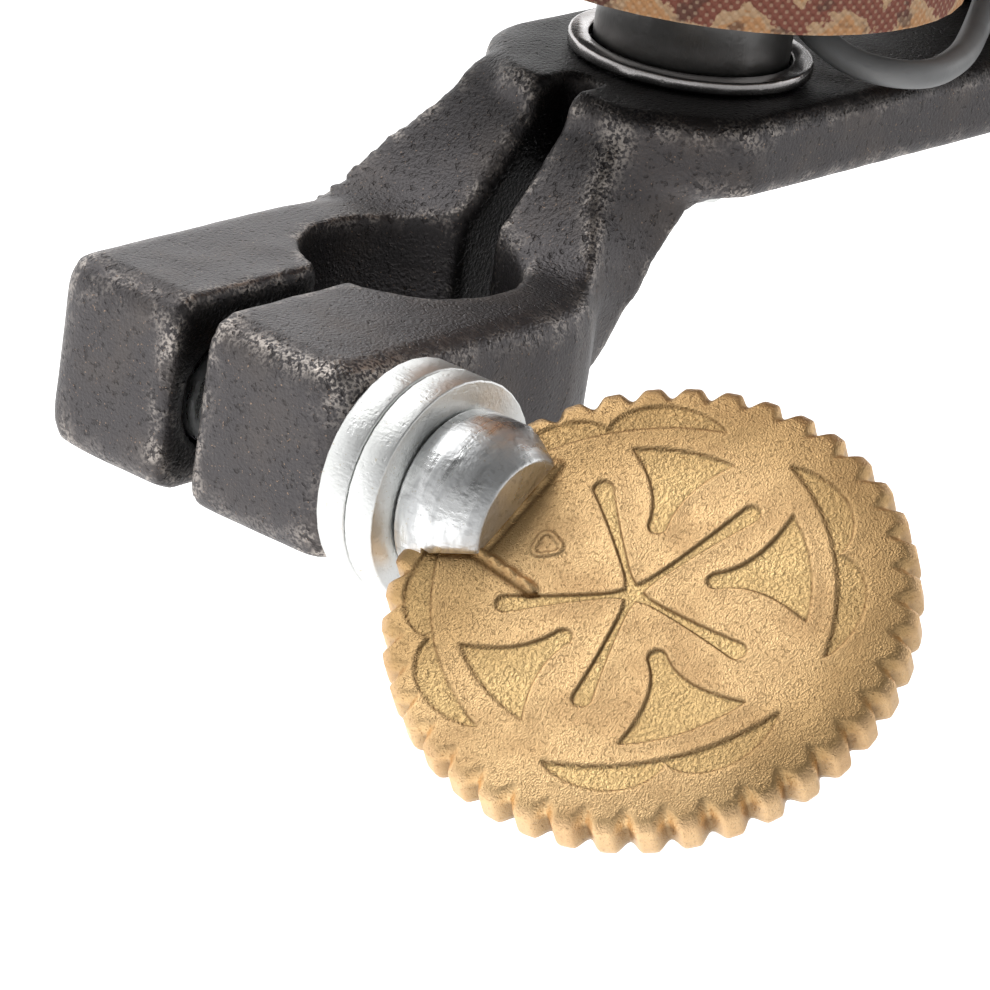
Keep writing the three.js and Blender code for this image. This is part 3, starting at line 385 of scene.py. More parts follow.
# %% Cast iron
def cast_iron_finish():
    surface = Surface("raw_cast_iron", (0.092, 0.085, 0.087), 0.72, 0.42)
    sand = surface.grit(0.13, 3.0)
    surface.tint(surface.ramp(sand["Patches"], 0.45, 0.72), (0.130, 0.113, 0.105), 0.6)
    surface.tint(sand["Pits"], (0.040, 0.035, 0.033), 0.5)
    surface.tint(sand["Specks"], (0.42, 0.29, 0.20), 0.75)
    grain = surface.ramp(sand["Height"], 0.40, 0.60)
    patchy = surface.ramp(surface.speckle(0.9, 3.0), 0.40, 0.62)
    wear = surface.maths("MULTIPLY", surface.maths("MULTIPLY", surface.painted("edge"), grain), patchy)
    wear = surface.maths("ADD", wear, surface.maths("MULTIPLY", surface.painted("rubbed"), grain))
    surface.tint(wear, (0.62, 0.56, 0.51), 0.9)
    # painted shade: recesses and the shelf by the coil are darkened nearly to black
    surface.tint(surface.painted("painted_shade"), (0.006, 0.006, 0.006), 0.9)
    surface.between("Metallic", wear, 0.7, 1.0)
    # painted shade also turns the reflection down in those places
    surface.between("Specular IOR Level", surface.painted("painted_shade"), 0.5, 0.05)
    surface.between("Roughness", sand["Patches"], 0.33, 0.48)
    surface.bump(sand["Height"], 0.055)
    return surface.material


# %% Zinc and steels
def zinc_finish():
    surface = Surface("bright_zinc", (0.86, 0.87, 0.86), 1.0, 0.3)
    skin = surface.grit(0.16, 1.6)
    brushed = surface.speckle(0.10, 2.0, (0.25, 1.0, 1.0))
    surface.tint(surface.ramp(skin["Patches"], 0.42, 0.72), (0.74, 0.75, 0.73), 0.7)
    surface.tint(skin["Specks"], (0.52, 0.42, 0.22), 0.5)
    surface.between("Roughness", skin["Patches"], 0.34, 0.50)
    surface.bump(surface.maths("ADD", brushed, skin["Height"]), 0.012)
    return surface.material


def worn_zinc_finish():
    """Plating on a turned head: streaks run round it, with dull spots worn through."""
    surface = Surface("worn_zinc", (0.86, 0.87, 0.87), 1.0, 0.2)
    skin = surface.grit(0.12, 1.1)
    streaks = surface.speckle(0.5, 4.0, (1.0, 0.22, 0.22))
    marks = surface.speckle(0.28, 4.0, (0.5, 1.0, 1.0))
    surface.tint(surface.ramp(streaks, 0.46, 0.60), (0.50, 0.51, 0.52), 0.55)
    surface.tint(surface.ramp(marks, 0.58, 0.66), (0.30, 0.30, 0.30), 0.3)
    surface.tint(skin["Specks"], (0.50, 0.42, 0.26), 0.5)
    surface.between("Roughness", surface.ramp(streaks, 0.40, 0.62), 0.24, 0.44)
    surface.bump(surface.maths("ADD", streaks, marks), 0.035)
    return surface.material


def steel_finish(name, colour, roughness, grain):
    surface = Surface(name, colour, 1.0, roughness)
    skin = surface.grit(grain, 2.2)
    drawn = surface.speckle(0.08, 2.0, (1.0, 1.0, 0.12))
    surface.tint(surface.ramp(skin["Patches"], 0.4, 0.7), tuple(0.72 * c for c in colour), 0.7)
    surface.between("Roughness", skin["Patches"], roughness - 0.08, roughness + 0.12)
    surface.bump(surface.maths("ADD", drawn, skin["Height"]), 0.006)
    return surface.material


# %% Brass, antique and polished
def antique_finish():
    surface = Surface("antique_brass", (0.90, 0.60, 0.30), 0.95, 0.34)
    skin = surface.grit(0.065, 2.6)
    surface.tint(surface.ramp(skin["Patches"], 0.45, 0.7), (0.74, 0.47, 0.23), 0.75)
    surface.tint(skin["Pits"], (0.40, 0.24, 0.10), 0.25)
    surface.tint(surface.ramp(skin["Height"], 0.50, 0.62), (0.98, 0.70, 0.36), 0.45)
    surface.tint(surface.painted("sunk"), (1.0, 0.71, 0.32), 0.7)
    surface.tint(surface.painted("dull"), (0.53, 0.335, 0.145), 0.75)
    surface.tint(surface.painted("worn"), (0.95, 0.64, 0.38), 0.4)
    # dark patina in grooves and tooth valleys, with painted shade beside the scars of the cut
    surface.tint(surface.painted("groove_and_shade"), (0.15, 0.075, 0.025), 1.0)
    surface.between("Roughness", surface.ramp(skin["Patches"], 0.40, 0.62), 0.29, 0.42)
    deep = surface.maths("MULTIPLY", surface.painted("sunk"), surface.speckle(0.16, 3.0))
    surface.bump(surface.maths("ADD", skin["Height"], surface.maths("MULTIPLY", deep, 2.0)), 0.036)
    return surface.material


def brass_finish():
    surface = Surface("turned_brass", (0.80, 0.56, 0.24), 1.0, 0.26)
    skin = surface.grit(0.2, 2.5)
    surface.tint(surface.ramp(skin["Patches"], 0.45, 0.7), (0.62, 0.40, 0.17), 0.6)
    surface.between("Roughness", skin["Patches"], 0.18, 0.38)
    surface.bump(skin["Height"], 0.006)
    return surface.material


# %% Insulators, sleeves and cloth
def plain_finish(name, colour, roughness, grain, depth):
    surface = Surface(name, colour, 0.0, roughness)
    skin = surface.grit(grain, 1.8)
    surface.tint(surface.ramp(skin["Patches"], 0.4, 0.7), tuple(0.78 * c for c in colour), 0.6)
    surface.between("Roughness", skin["Patches"], roughness - 0.08, roughness + 0.08)
    surface.bump(skin["Height"], depth)
    return surface.material


def can_finish():
    """A painted can with bare tinned legs."""
    surface = Surface("capacitor_can", (0.02, 0.035, 0.10), 0.0, 0.35)
    surface.tint(surface.grit(0.3, 1.8)["Patches"], (0.015, 0.025, 0.075), 0.6)
    surface.tint(surface.painted("leg"), (0.66, 0.66, 0.64))
    surface.between("Metallic", surface.painted("leg"), 0.0, 1.0)
    return surface.material


CLOTH_ROW = 0.42
ZIGZAG = 1.9
BAND = 2.9


def cloth_finish():
    """Woven cloth with a loose print of zigzag bands and blotches."""
    surface = Surface("wrap_cloth", (0.56, 0.36, 0.21), 0.0, 0.85)
    surface.place = surface.tree.nodes.new("ShaderNodeTexCoord").outputs["UV"]
    split = surface.tree.nodes.new("ShaderNodeSeparateXYZ")
    surface.tree.links.new(surface.place, split.inputs[0])
    round_way, up_way = split.outputs["X"], split.outputs["Y"]
    threads = [
        surface.maths("SINE", surface.maths("MULTIPLY", way, 2 * math.pi / (CLOTH_ROW * MM)), 0.0)
        for way in (round_way, up_way)
    ]
    weave = surface.maths("MULTIPLY", threads[0], threads[1])
    teeth = surface.maths("PINGPONG", round_way, ZIGZAG * MM)
    slant = surface.maths("ADD", up_way, surface.maths("MULTIPLY", teeth, 0.7))
    blot = surface.speckle(0.55, 3.0)
    drift = surface.maths("ADD", slant, surface.maths("MULTIPLY", blot, 1.6 * MM))
    band = surface.maths("SINE", surface.maths("MULTIPLY", drift, 2 * math.pi / (BAND * MM)), 0.0)
    surface.tint(surface.ramp(band, 0.05, 0.35), (0.20, 0.035, 0.028), 0.85)
    surface.tint(surface.ramp(band, -0.45, -0.75), (0.58, 0.27, 0.10), 0.7)
    surface.tint(surface.ramp(surface.speckle(1.5, 3.0), 0.58, 0.64), (0.11, 0.055, 0.04), 0.7)
    surface.tint(surface.ramp(weave, 0.1, 0.9), (0.74, 0.56, 0.38), 0.35)
    surface.bump(weave, 0.05)
    return surface.material


finishes = {
    "cast_iron": cast_iron_finish(),
    "zinc": zinc_finish(),
    "antique_brass": antique_finish(),
    "dark_steel": steel_finish("dark_steel", (0.27, 0.265, 0.26), 0.34, 0.2),
    "bright_steel": steel_finish("bright_steel", (0.46, 0.44, 0.435), 0.22, 0.2),
    "worn_zinc": worn_zinc_finish(),
    "spring_steel": steel_finish("blued_spring_steel", (0.30, 0.34, 0.40), 0.28, 0.15),
    "brass": brass_finish(),
    "copper": steel_finish("enamelled_copper", (0.62, 0.24, 0.10), 0.3, 0.2),
    "fibre": plain_finish("black_fibre", (0.018, 0.017, 0.017), 0.6, 0.12, 0.01),
    "nylon": plain_finish("white_nylon", (0.78, 0.74, 0.64), 0.42, 0.4, 0.006),
    "cloth": cloth_finish(),
    "sleeve": plain_finish("lead_sleeve", (0.26, 0.265, 0.27), 0.42, 0.2, 0.008),
    "can": can_finish(),
}
print("finishes:", len(finishes))

# %% [markdown]
# ## Pieces that stand for CAD nodes
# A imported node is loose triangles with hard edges. A copy of it can be merged, bevelled
# and shaded smooth, which gives every edge the fine highlight of a real machined edge.
# The copy then rides on the same body and replaces the node.

# %% Helpers that settle a piece
def settle(name, mesh, node, slot, finish=None):
    """Makes the object, gives it its finish and lets it stand for the node."""
    piece = bpy.data.objects.new(name, mesh)
    bpy.context.scene.collection.objects.link(piece)
    if not mesh.materials:
        mesh.materials.append(finish or finishes[slot])
    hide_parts(node)
    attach(piece, body_of_node[node])
    return piece


def merged_copy(node, flat=0.6):
    """A welded copy of a node, with its flat faces made whole again."""
    shape = bmesh.new()
    shape.from_mesh(frame["nodes"][node].data)
    bmesh.ops.remove_doubles(shape, verts=shape.verts, dist=0.001 * MM)
    bmesh.ops.dissolve_limit(
        shape, angle_limit=math.radians(flat), verts=shape.verts, edges=shape.edges
    )
    mesh = bpy.data.meshes.new(node)
    shape.to_mesh(mesh)
    shape.free()
    return mesh


def with_modifiers(mesh, *modifiers):
    """The mesh after modifiers given as (type, settings) pairs."""
    helper = bpy.data.objects.new("helper", mesh)
    bpy.context.scene.collection.objects.link(helper)
    for kind, settings in modifiers:
        modifier = helper.modifiers.new(kind, kind)
        for key, value in settings.items():
            setattr(modifier, key, value)
    done = bpy.data.meshes.new_from_object(
        helper.evaluated_get(bpy.context.evaluated_depsgraph_get())
    )
    bpy.data.objects.remove(helper)
    return done


def softened(node, slot, width=0.08, finish=None):
    """A node with its edges bevelled by width millimetres."""
    bevel = {
        "width": width * MM,
        "segments": 2,
        "limit_method": "ANGLE",
        "angle_limit": math.radians(32),
        "harden_normals": True,
    }
    source = merged_copy(node)
    source.shade_smooth()
    mesh = with_modifiers(source, ("BEVEL", bevel))
    mesh.materials.clear()
    return settle(node + "_finished", mesh, node, slot, finish)


# %% [markdown]
# ## The cast frame
# Sand castings have no sharp edge. The frame is remeshed into small even squares, smoothed
# a little, and lumped by low noise. Points that stand proud of their smoothed neighbours
# are edges: that value drives the bright wear in the cast iron finish.

# %% Values on a mesh
def mesh_points(mesh):
    points = np.empty(len(mesh.vertices) * 3)
    mesh.vertices.foreach_get("co", points)
    return points.reshape(-1, 3)


def neighbour_mean(mesh, points, rounds):
    """Each point moved to the mean of its neighbours, a number of times."""
    ends = np.empty(len(mesh.edges) * 2, dtype=np.int64)
    mesh.edges.foreach_get("vertices", ends)
    first, second = ends.reshape(-1, 2).T
    count = np.bincount(first, minlength=len(points)) + np.bincount(second, minlength=len(points))
    for _ in range(rounds):
        total = np.zeros_like(points)
        for axis in range(points.shape[1]):
            total[:, axis] += np.bincount(first, points[second, axis], len(points))
            total[:, axis] += np.bincount(second, points[first, axis], len(points))
        points = total / count[:, None]
    return points


def normals_of(mesh):
    normals = np.empty(len(mesh.vertices) * 3)
    mesh.vertices.foreach_get("normal", normals)
    return normals.reshape(-1, 3)


def smooth_step(value, low, high):
    t = np.clip((value - low) / (high - low), 0, 1)
    return t * t * (3 - 2 * t)


def store(mesh, name, values):
    """Keeps one number per point under a name that materials can read."""
    layer = mesh.attributes.new(name, "FLOAT", "POINT")
    layer.data.foreach_set("value", values.astype(np.float32))


print("values on a mesh: mean of neighbours, normals, named numbers")


# %% [markdown]
# Recesses of the casting get painted shade: rays from each point say how closed in it is,
# and tops near the coil get a painted shadow as well. A few edges were rubbed bright by
# handling; they are given as lines with a width, in millimetres.

# %% Painted shade in recesses, painted shadow by the coil, rubbed edges
SHADE_REACH = 14 * MM
SHADE_RAYS = 14
SHADING_NODES = ("frame_casting", "front_coil_wrap", "front_coil_flange_lower", "front_coil_core")
RUBBED = (
    ((7.0, -11.4, -0.2), (7.0, -8.6, -0.1), 0.75),
    ((2.6, -11.4, -0.1), (6.9, -11.4, -0.2), 0.45),
    ((4.75, 4.65, 1.1), (3.9, 5.8, 2.6), 0.42),
    ((3.9, 5.8, 2.6), (2.9, 7.35, 4.35), 0.60),
    ((-7.0, -11.3, -0.3), (-7.0, -7.5, -0.2), 0.40),
)


def hemisphere(count):
    """Even directions over the upper half of a ball, more of them near the top."""
    step = np.arange(count) + 0.5
    rise = np.sqrt(1 - step / count)
    turn = step * math.pi * (3 - math.sqrt(5))
    flat = np.sqrt(1 - rise**2)
    return np.stack([flat * np.cos(turn), flat * np.sin(turn), rise], axis=1)


def painted_shade_of(points, normals, nodes):
    """The share of directions in which a point sees metal close by, which sets its painted shade."""
    corners, faces = [], []
    for node in nodes:
        mesh = frame["nodes"][node].data
        faces += [[len(corners) + k for k in face.vertices] for face in mesh.polygons]
        corners += [v.co for v in mesh.vertices]
    tree = BVHTree.FromPolygons(corners, faces)
    directions = [Vector(d) for d in hemisphere(SHADE_RAYS)]
    closed = np.zeros(len(points))
    for index, (point, normal) in enumerate(zip(points, normals)):
        up = Vector(normal)
        turn = up.to_track_quat("Z", "Y")
        start = Vector(point) + up * 0.2 * MM
        for direction in directions:
            distance = tree.ray_cast(start, turn @ direction, SHADE_REACH)[3]
            if distance is not None:
                closed[index] += 1 - 0.5 * distance / SHADE_REACH
    return closed / SHADE_RAYS


def near_lines(points, lines):
    """1 on a line, falling to 0 at its own width; all in millimetres."""
    value = np.zeros(len(points))
    for start, end, width in lines:
        start, run = np.array(start), np.array(end) - np.array(start)
        along = np.clip((points / MM - start) @ run / (run @ run), 0, 1)
        gap = np.linalg.norm(points / MM - start - along[:, None] * run, axis=1)
        value = np.maximum(value, np.exp(-((gap / width) ** 2)))
    return value


def painted_shadow_of(points, normals):
    """Painted shadow on faces that look up: on the slope and, most of all, on the shelf by the coil."""
    height = points[:, 2] / MM
    facing_up = smooth_step(normals[:, 2], 0.2, 0.6)
    return 0.72 * facing_up * smooth_step(height, 0.4, 4.6) * (points[:, 1] > 2 * MM)


print("rubbed edges:", len(RUBBED))

# %% Cast frame
CAST_VOXEL = 0.30 * MM
CAST_LUMP = 0.035 * MM
CAST_LUMP_SIZE = 1.6 * MM


def cast_frame():
    source = merged_copy("frame_casting")
    remesh = ("REMESH", {"mode": "VOXEL", "voxel_size": CAST_VOXEL})
    smooth = ("SMOOTH", {"factor": 0.5, "iterations": 6})
    mesh = with_modifiers(source, remesh, smooth)
    mesh.materials.clear()
    points = mesh_points(mesh)
    normals = normals_of(mesh)
    far = neighbour_mean(mesh, points, 6)
    proud = ((points - far) * normals).sum(axis=1) / MM
    edge = neighbour_mean(mesh, np.clip((proud - 0.03) / 0.10, 0, 1)[:, None], 1)[:, 0]
    lumps = np.array([noise.noise(Vector(p) / CAST_LUMP_SIZE) for p in points])
    mesh.vertices.foreach_set("co", (points + normals * (lumps * CAST_LUMP)[:, None]).ravel())
    store(mesh, "edge", edge)
    store(mesh, "rubbed", near_lines(points, RUBBED))
    # painted shade in recesses, and painted shadow on the slope and the shelf by the coil
    painted_shade = painted_shade_of(points, normals, SHADING_NODES)
    painted_shade = neighbour_mean(mesh, painted_shade[:, None], 2)[:, 0]
    painted_shade = np.clip((painted_shade - 0.10) / 0.52, 0, 1)
    store(mesh, "painted_shade", np.maximum(painted_shade, painted_shadow_of(points, normals)))
    mesh.shade_smooth()
    return settle("cast_frame", mesh, "frame_casting", "cast_iron")


casting = cast_frame()
print("cast frame:", len(casting.data.polygons), "faces")

# %% [markdown]
# ## The toothed disc
# The thumb disc is a die-cast ornament: a smooth field with sunk, gritty shapes in it. It is
# drawn in polar rings, and the height of every point comes from its distance to each shape.
# Its place is read from the CAD node, whose flat face and rim give the disc's own axes.

# %% Axes of the disc
def disc_axes():
    """Centre, the way to the far rim, the way across, the face's normal, radius, thickness."""
    mesh = frame["nodes"]["thumb_disc"].data
    points = mesh_points(mesh)
    facing = max(mesh.polygons, key=lambda face: face.area * (face.normal.y < 0)).normal
    normal = np.array(facing)
    away = np.array((1.0, 0, 0)) - normal * normal[0]
    away /= np.linalg.norm(away)
    across = np.cross(normal, away)
    spans = [(points @ axis).min() for axis in (away, across, normal)]
    tops = [(points @ axis).max() for axis in (away, across, normal)]
    radius = (tops[1] - spans[1]) / 2
    thickness = tops[2] - spans[2]
    centre = away * (tops[0] - radius) + across * (tops[1] + spans[1]) / 2
    centre = centre + normal * (tops[2] + spans[2]) / 2
    notch = (centre @ away - spans[0]) / MM
    return centre, away, across, normal, radius / MM, thickness / MM, notch


disc_centre, disc_away, disc_across, disc_normal, DISC_R, DISC_T, DISC_NOTCH = disc_axes()
print("disc radius %.2f, thickness %.2f, notch at %.2f mm" % (DISC_R, DISC_T, DISC_NOTCH))

# %% [markdown]
# The ornament has five clubs that meet in a small star, four axe blades between them, and
# four two-lobed crescents round the outside. A fifth blade was lost where the disc was cut
# for the screw head, and a small ring is left of it. Each shape is a signed distance in
# millimetres, less than 0 inside.

# %% Shapes of the ornament
# turns are degrees from the way to the far rim; clubs have a length, blades a half width
ORNAMENT_CENTRE = (-0.58, -0.07)
CLUB_LENGTHS = {-0.9: 4.45, 72.3: 5.0, 139.7: 4.65, -143.4: 4.4, -75.8: 4.5}
BLADE_WIDTHS = {41.5: 2.65, 109.6: 2.0, -110.0: 2.2, -36.5: 2.65}
CRESCENT_TURNS = (44.0, 134.0, -134.0, -44.5)
CRESCENT_HALF = 34.0


def turned_to(x, y, degrees):
    turn = math.radians(degrees)
    return x * math.cos(turn) + y * math.sin(turn), y * math.cos(turn) - x * math.sin(turn)


def club(x, y, length):
    """A thin stem that swells to a round end."""
    along = np.clip(x / length, 0, 1)
    half = 0.10 + 0.25 * along**2.2 + 0.16 * np.exp(-((x / 0.5) ** 2))
    return np.hypot(x - np.clip(x, 0, length), y) - half


def blade(x, y, spread):
    """A narrow neck that flares to two points, with a bulging outer edge."""
    neck, reach = 2.9, 6.0
    along = np.clip((x - neck) / (reach - neck), 0, 1)
    half = 0.34 + (spread - 0.34) * along**2.1
    slope = (spread - 0.34) * 2.1 * along**1.1 / (reach - neck)
    sides = (np.abs(y) - half) / np.sqrt(1 + slope**2)
    outer = x - (reach + 0.12 - 0.075 * y**2)
    inner = np.hypot(x - neck, y) - 0.34
    return np.where(x < neck, inner, np.maximum(sides, outer))


def crescent(x, y):
    """Two lobes that meet in a cusp, along an arc."""
    radius = np.hypot(x, y)
    turn = np.degrees(np.arctan2(y, x))
    share = np.clip(np.abs(turn) / CRESCENT_HALF, 0, 1)
    inner = 6.98 + 0.30 * share**2
    lobes = np.sin(np.pi * share**0.8) ** 0.8
    outer = inner + 0.10 * (1 - share) + 0.92 * lobes
    beyond = np.radians(np.abs(turn) - CRESCENT_HALF) * 7.2
    return np.maximum(np.maximum(inner - radius, radius - outer), beyond)


def ornament(x, y):
    """The distance to the nearest sunk shape."""
    x, y = x - ORNAMENT_CENTRE[0], y - ORNAMENT_CENTRE[1]
    shapes = [club(*turned_to(x, y, turn), length) for turn, length in CLUB_LENGTHS.items()]
    shapes += [blade(*turned_to(x, y, turn), spread) for turn, spread in BLADE_WIDTHS.items()]
    shapes += [crescent(*turned_to(x, y, turn)) for turn in CRESCENT_TURNS]
    return np.minimum.reduce(shapes)


# %% [markdown]
# The teeth are rounded ribs on the rim, and the rim is pulled in to a straight notch where
# the screw head stands. Distances on the disc are in millimetres, and turns in radians.

# %% Teeth and notch
TEETH = 40
TOOTH_DEPTH = 0.46
NOTCH_HALF = 3.42
NOTCH_DROP = 0.58


def valley(turn):
    """0 on the flat tip of a tooth, 1 in the middle of a valley."""
    phase = np.abs((turn * TEETH / (2 * math.pi) + 0.5) % 1 - 0.5) * 2
    return smooth_step(phase, 0.30, 1.0)


def notched(turn, radius):
    """The rim with the notch in it."""
    x, y = radius * np.cos(turn), radius * np.sin(turn)
    inside = (x < -DISC_NOTCH) & (np.abs(y - NOTCH_DROP) < NOTCH_HALF)
    return np.where(inside, -DISC_NOTCH / np.cos(turn), radius)


print("teeth:", TEETH, "depth:", TOOTH_DEPTH)

# %% [markdown]
# The cut left scars by the notch: a bead along it, a folded burr that runs in from its lower
# end, a ring that was part of the ornament, and a soft dent further up. The burr, bead and
# ring have painted shade beside them.

# %% Scars of the cut
BURR = ((-6.4, -1.45), (-3.7, -1.75))
BEAD = ((-6.2, -1.2), (-6.15, 2.9))
RING_REMNANT = (-4.38, 0.0, 0.45)
DENT = (-1.03, 3.82)


def segment(x, y, start, end):
    """Distance to a line between two points, how far along it, and the signed side."""
    (x0, y0), (x1, y1) = start, end
    length = math.hypot(x1 - x0, y1 - y0)
    along = ((x - x0) * (x1 - x0) + (y - y0) * (y1 - y0)) / length**2
    held = np.clip(along, 0, 1)
    side = ((x - x0) * (y1 - y0) - (y - y0) * (x1 - x0)) / length
    return np.hypot(x - x0 - held * (x1 - x0), y - y0 - held * (y1 - y0)), along, side


def scars(x, y):
    """Height of the marks left where the disc was cut for the screw head, and painted shade beside them.
    """
    gap, along, side = segment(x, y, *BURR)
    height = 0.24 * np.exp(-((gap / 0.17) ** 2)) * (1 + 0.35 * np.sin(along * 23))
    # painted shadow on one side of the folded burr
    shade = 0.95 * np.exp(-(((gap - 0.27) / 0.14) ** 2)) * (side > 0)
    gap, along, _ = segment(x, y, *BEAD)
    height = height + 0.15 * np.exp(-((gap / 0.15) ** 2)) * (1 + 0.3 * np.sin(along * 17))
    # painted shade on both sides of the bead
    shade = shade + 0.7 * np.exp(-(((gap - 0.26) / 0.08) ** 2))
    from_ring = np.hypot(x - RING_REMNANT[0], y - RING_REMNANT[1])
    turn = np.arctan2(y - RING_REMNANT[1], x - RING_REMNANT[0])
    ring = np.abs(from_ring - RING_REMNANT[2] * (1 + 0.14 * np.sin(3 * turn + 1)))
    height = height + 0.05 * np.exp(-((ring / 0.09) ** 2))
    # painted shade just outside the ring
    shade = shade + 0.6 * np.exp(-(((ring - 0.11) / 0.05) ** 2))
    dent = np.hypot(x - DENT[0], y - DENT[1])
    return height - 0.05 * np.exp(-((dent / 0.45) ** 2)), shade


print("scars: burr, bead, ring, dent")

# %% [markdown]
# The relief adds everything up: the field swells a little round each sunk shape, a thin dark
# line runs round the shape, and the edge rolls over into the teeth. The field is duller
# towards the rim and near the screw head, except on one side.

# %% Relief of the face
SUNK = 0.07
ROLL = 0.6
UNDULLED_SIDE = math.radians(-80)


def relief(x, y, edge_radius):
    """Height over the flat field, the dark groove line with the painted shade of the scars, and the sunk
    and dull values.
    """
    gap = ornament(x, y)
    radius = np.hypot(x, y)
    inside = smooth_step(-gap, -0.02, 0.06)
    line = np.exp(-(((gap + 0.01) / 0.045) ** 2))
    swell = 0.022 * np.exp(-((np.clip(gap, 0, 9) / 0.4) ** 2)) * (1 - inside)
    raised, shade = scars(x, y)
    height = swell - SUNK * inside - 0.03 * line + raised
    roll = np.clip((radius - edge_radius + ROLL) / ROLL, 0, 1)
    height = height - 0.30 * roll**2.3 * (radius > 7.0)
    height = height - 0.12 * smooth_step(radius, DISC_R - 1.6, DISC_R)
    bright_side = smooth_step(np.cos(np.arctan2(y, x) - UNDULLED_SIDE), 0.5, 0.95)
    near_screw = 1.6 * np.clip(-x / (radius + 0.1), 0, 1)
    dull = smooth_step(radius + near_screw, 5.0, 8.0) * (1 - bright_side)
    return height, np.clip(line * 0.85 + shade, 0, 1), inside, dull


print("shapes are sunk by", SUNK, "mm")

# %% [markdown]
# The mesh is made of rings of points: the face from the middle out, then the ribbed side and
# the plain back. Each ring carries the values that the brass finish reads.

# %% Mesh of the disc
PER_TOOTH = 16
RINGS = 122


def field_rings(turn, rim):
    """The face of the disc, from its middle out to its rolled edge."""
    radius = rim[None, :] * np.linspace(0.004, 1, RINGS)[:, None]
    x, y = radius * np.cos(turn), radius * np.sin(turn)
    height, groove_and_shade, sunk, dull = relief(x, y, np.maximum(rim, DISC_R - TOOTH_DEPTH)[None, :])
    flat = [noise.noise((a / 1.3, b / 1.3, 3.1)) for a, b in zip(x.ravel(), y.ravel())]
    top = DISC_T / 2 + height + 0.018 * np.array(flat).reshape(x.shape)
    worn = smooth_step(radius, DISC_R - 0.4, DISC_R - 0.1) * (1 - valley(turn))
    return x, y, top, groove_and_shade, sunk, worn, dull


def edge_rings(turn, rim, top):
    """The ribbed side, then the plain back, as shares of the depth and of the radius."""
    low = -DISC_T / 2
    rings = []
    for depth, pull in ((0.25, 0.0), (0.5, 0.01), (0.75, 0.0), (0.93, -0.08)):
        level = top * (1 - depth) + low * depth
        rings.append((rim + pull, level, 0.7 * valley(turn), 0.8 * (1 - valley(turn))))
    for share in (0.965, 0.8, 0.55, 0.3, 0.05):
        rings.append((rim * share, np.full_like(rim, low), 0 * rim, 0 * rim))
    return [
        (r * np.cos(turn), r * np.sin(turn), level, groove_and_shade, 0 * r, worn, 0 * r)
        for r, level, groove_and_shade, worn in rings
    ]


def disc_mesh():
    columns = TEETH * PER_TOOTH
    turn = np.arange(columns) / columns * 2 * math.pi
    rim = notched(turn, DISC_R - TOOTH_DEPTH * valley(turn))
    field = field_rings(turn, rim)
    parts = [field] + [tuple(row[None, :] for row in ring) for ring in edge_rings(turn, rim, field[2][-1])]
    x, y, z, groove_and_shade, sunk, worn, dull = (np.vstack([part[k] for part in parts]) for k in range(7))
    points = np.stack([x, y, z], axis=-1).reshape(-1, 3) * MM
    points = points @ np.array([disc_away, disc_across, disc_normal]) + disc_centre
    row = np.arange(x.shape[0] - 1)[:, None] * columns
    column = np.arange(columns)[None, :]
    beside = (column + 1) % columns
    quads = np.stack([row + column, row + columns + column, row + columns + beside, row + beside], -1)
    last = (x.shape[0] - 1) * columns
    faces = quads.reshape(-1, 4).tolist()
    faces += [list(range(last, last + columns)), list(range(columns))]
    mesh = bpy.data.meshes.new("toothed_disc")
    mesh.from_pydata(points, [], faces)
    for name, values in (("groove_and_shade", groove_and_shade), ("sunk", sunk), ("worn", worn), ("dull", dull)):
        store(mesh, name, values.ravel())
    shape = bmesh.new()
    shape.from_mesh(mesh)
    bmesh.ops.recalc_face_normals(shape, faces=shape.faces)
    shape.to_mesh(mesh)
    shape.free()
    mesh.shade_smooth()
    return mesh


disc = settle("toothed_disc", disc_mesh(), "thumb_disc", "antique_brass")
print("disc:", len(disc.data.polygons), "faces")

# %% [markdown]
# ## Turned and stamped parts
# Screws, washers, posts and nuts keep their CAD shape. Each gets a bevel that suits its size
# and the finish of its slot, so this is a table of nodes and a loop.

# %% Soften the metal parts
COILS = ("front_coil", "rear_coil")
softening = {
    "vise_washer_inner": ("zinc", 0.08),
    "vise_washer_outer": ("zinc", 0.08),
    "vise_screw": ("zinc", 0.08, "worn_zinc"),
    "armature_bar": ("dark_steel", 0.15),
    "armature_washer": ("zinc", 0.10),
    "armature_screw": ("zinc", 0.10),
    "front_spring": ("spring_steel", 0.06),
    "spring_clamp_washer": ("zinc", 0.10),
    "spring_clamp_screw": ("zinc", 0.10),
    "front_post": ("brass", 0.12),
    "front_post_bush_inner": ("nylon", 0.12),
    "front_post_bush_outer": ("nylon", 0.12),
    "front_post_nut": ("zinc", 0.12),
    "front_post_lug": ("bright_steel", 0.05),
    "contact_tip": ("bright_steel", 0.10),
    "rear_post_upper": ("brass", 0.12),
    "rear_post_upper_nut": ("zinc", 0.12),
    "rear_post_lower": ("brass", 0.12),
    "rear_post_lower_nut": ("zinc", 0.12),
    "rear_post_lower_bush_outer": ("nylon", 0.10),
    "rear_post_lower_bush_inner": ("nylon", 0.10),
    "rear_post_lower_lug": ("bright_steel", 0.05),
    "contact_screw": ("brass", 0.08),
    "contact_clamp_knob": ("brass", 0.08),
}
for coil in COILS:
    softening[coil + "_core"] = ("dark_steel", 0.20)
    softening[coil + "_shim_ring"] = ("bright_steel", 0.12)
    softening[coil + "_flange_lower"] = ("fibre", 0.15)
    softening[coil + "_flange_upper"] = ("fibre", 0.15)
    softening[coil + "_core_screw"] = ("zinc", 0.12)
    softening[coil + "_winding"] = ("copper", 0.10)
for node, (slot, width, *finish) in softening.items():
    softened(node, slot, width, finishes[finish[0]] if finish else None)
print("softened pieces:", len(softening))

# %% [markdown]
# The leads are octagonal tubes in the CAD. Their quads are found again and subdivided, so
# that they turn round. The printed cloth needs a map that runs round each coil, in metres.

# %% Leads and cloth wraps
LEADS = ("coil_link_lead", "front_coil_lead", "rear_coil_lead")


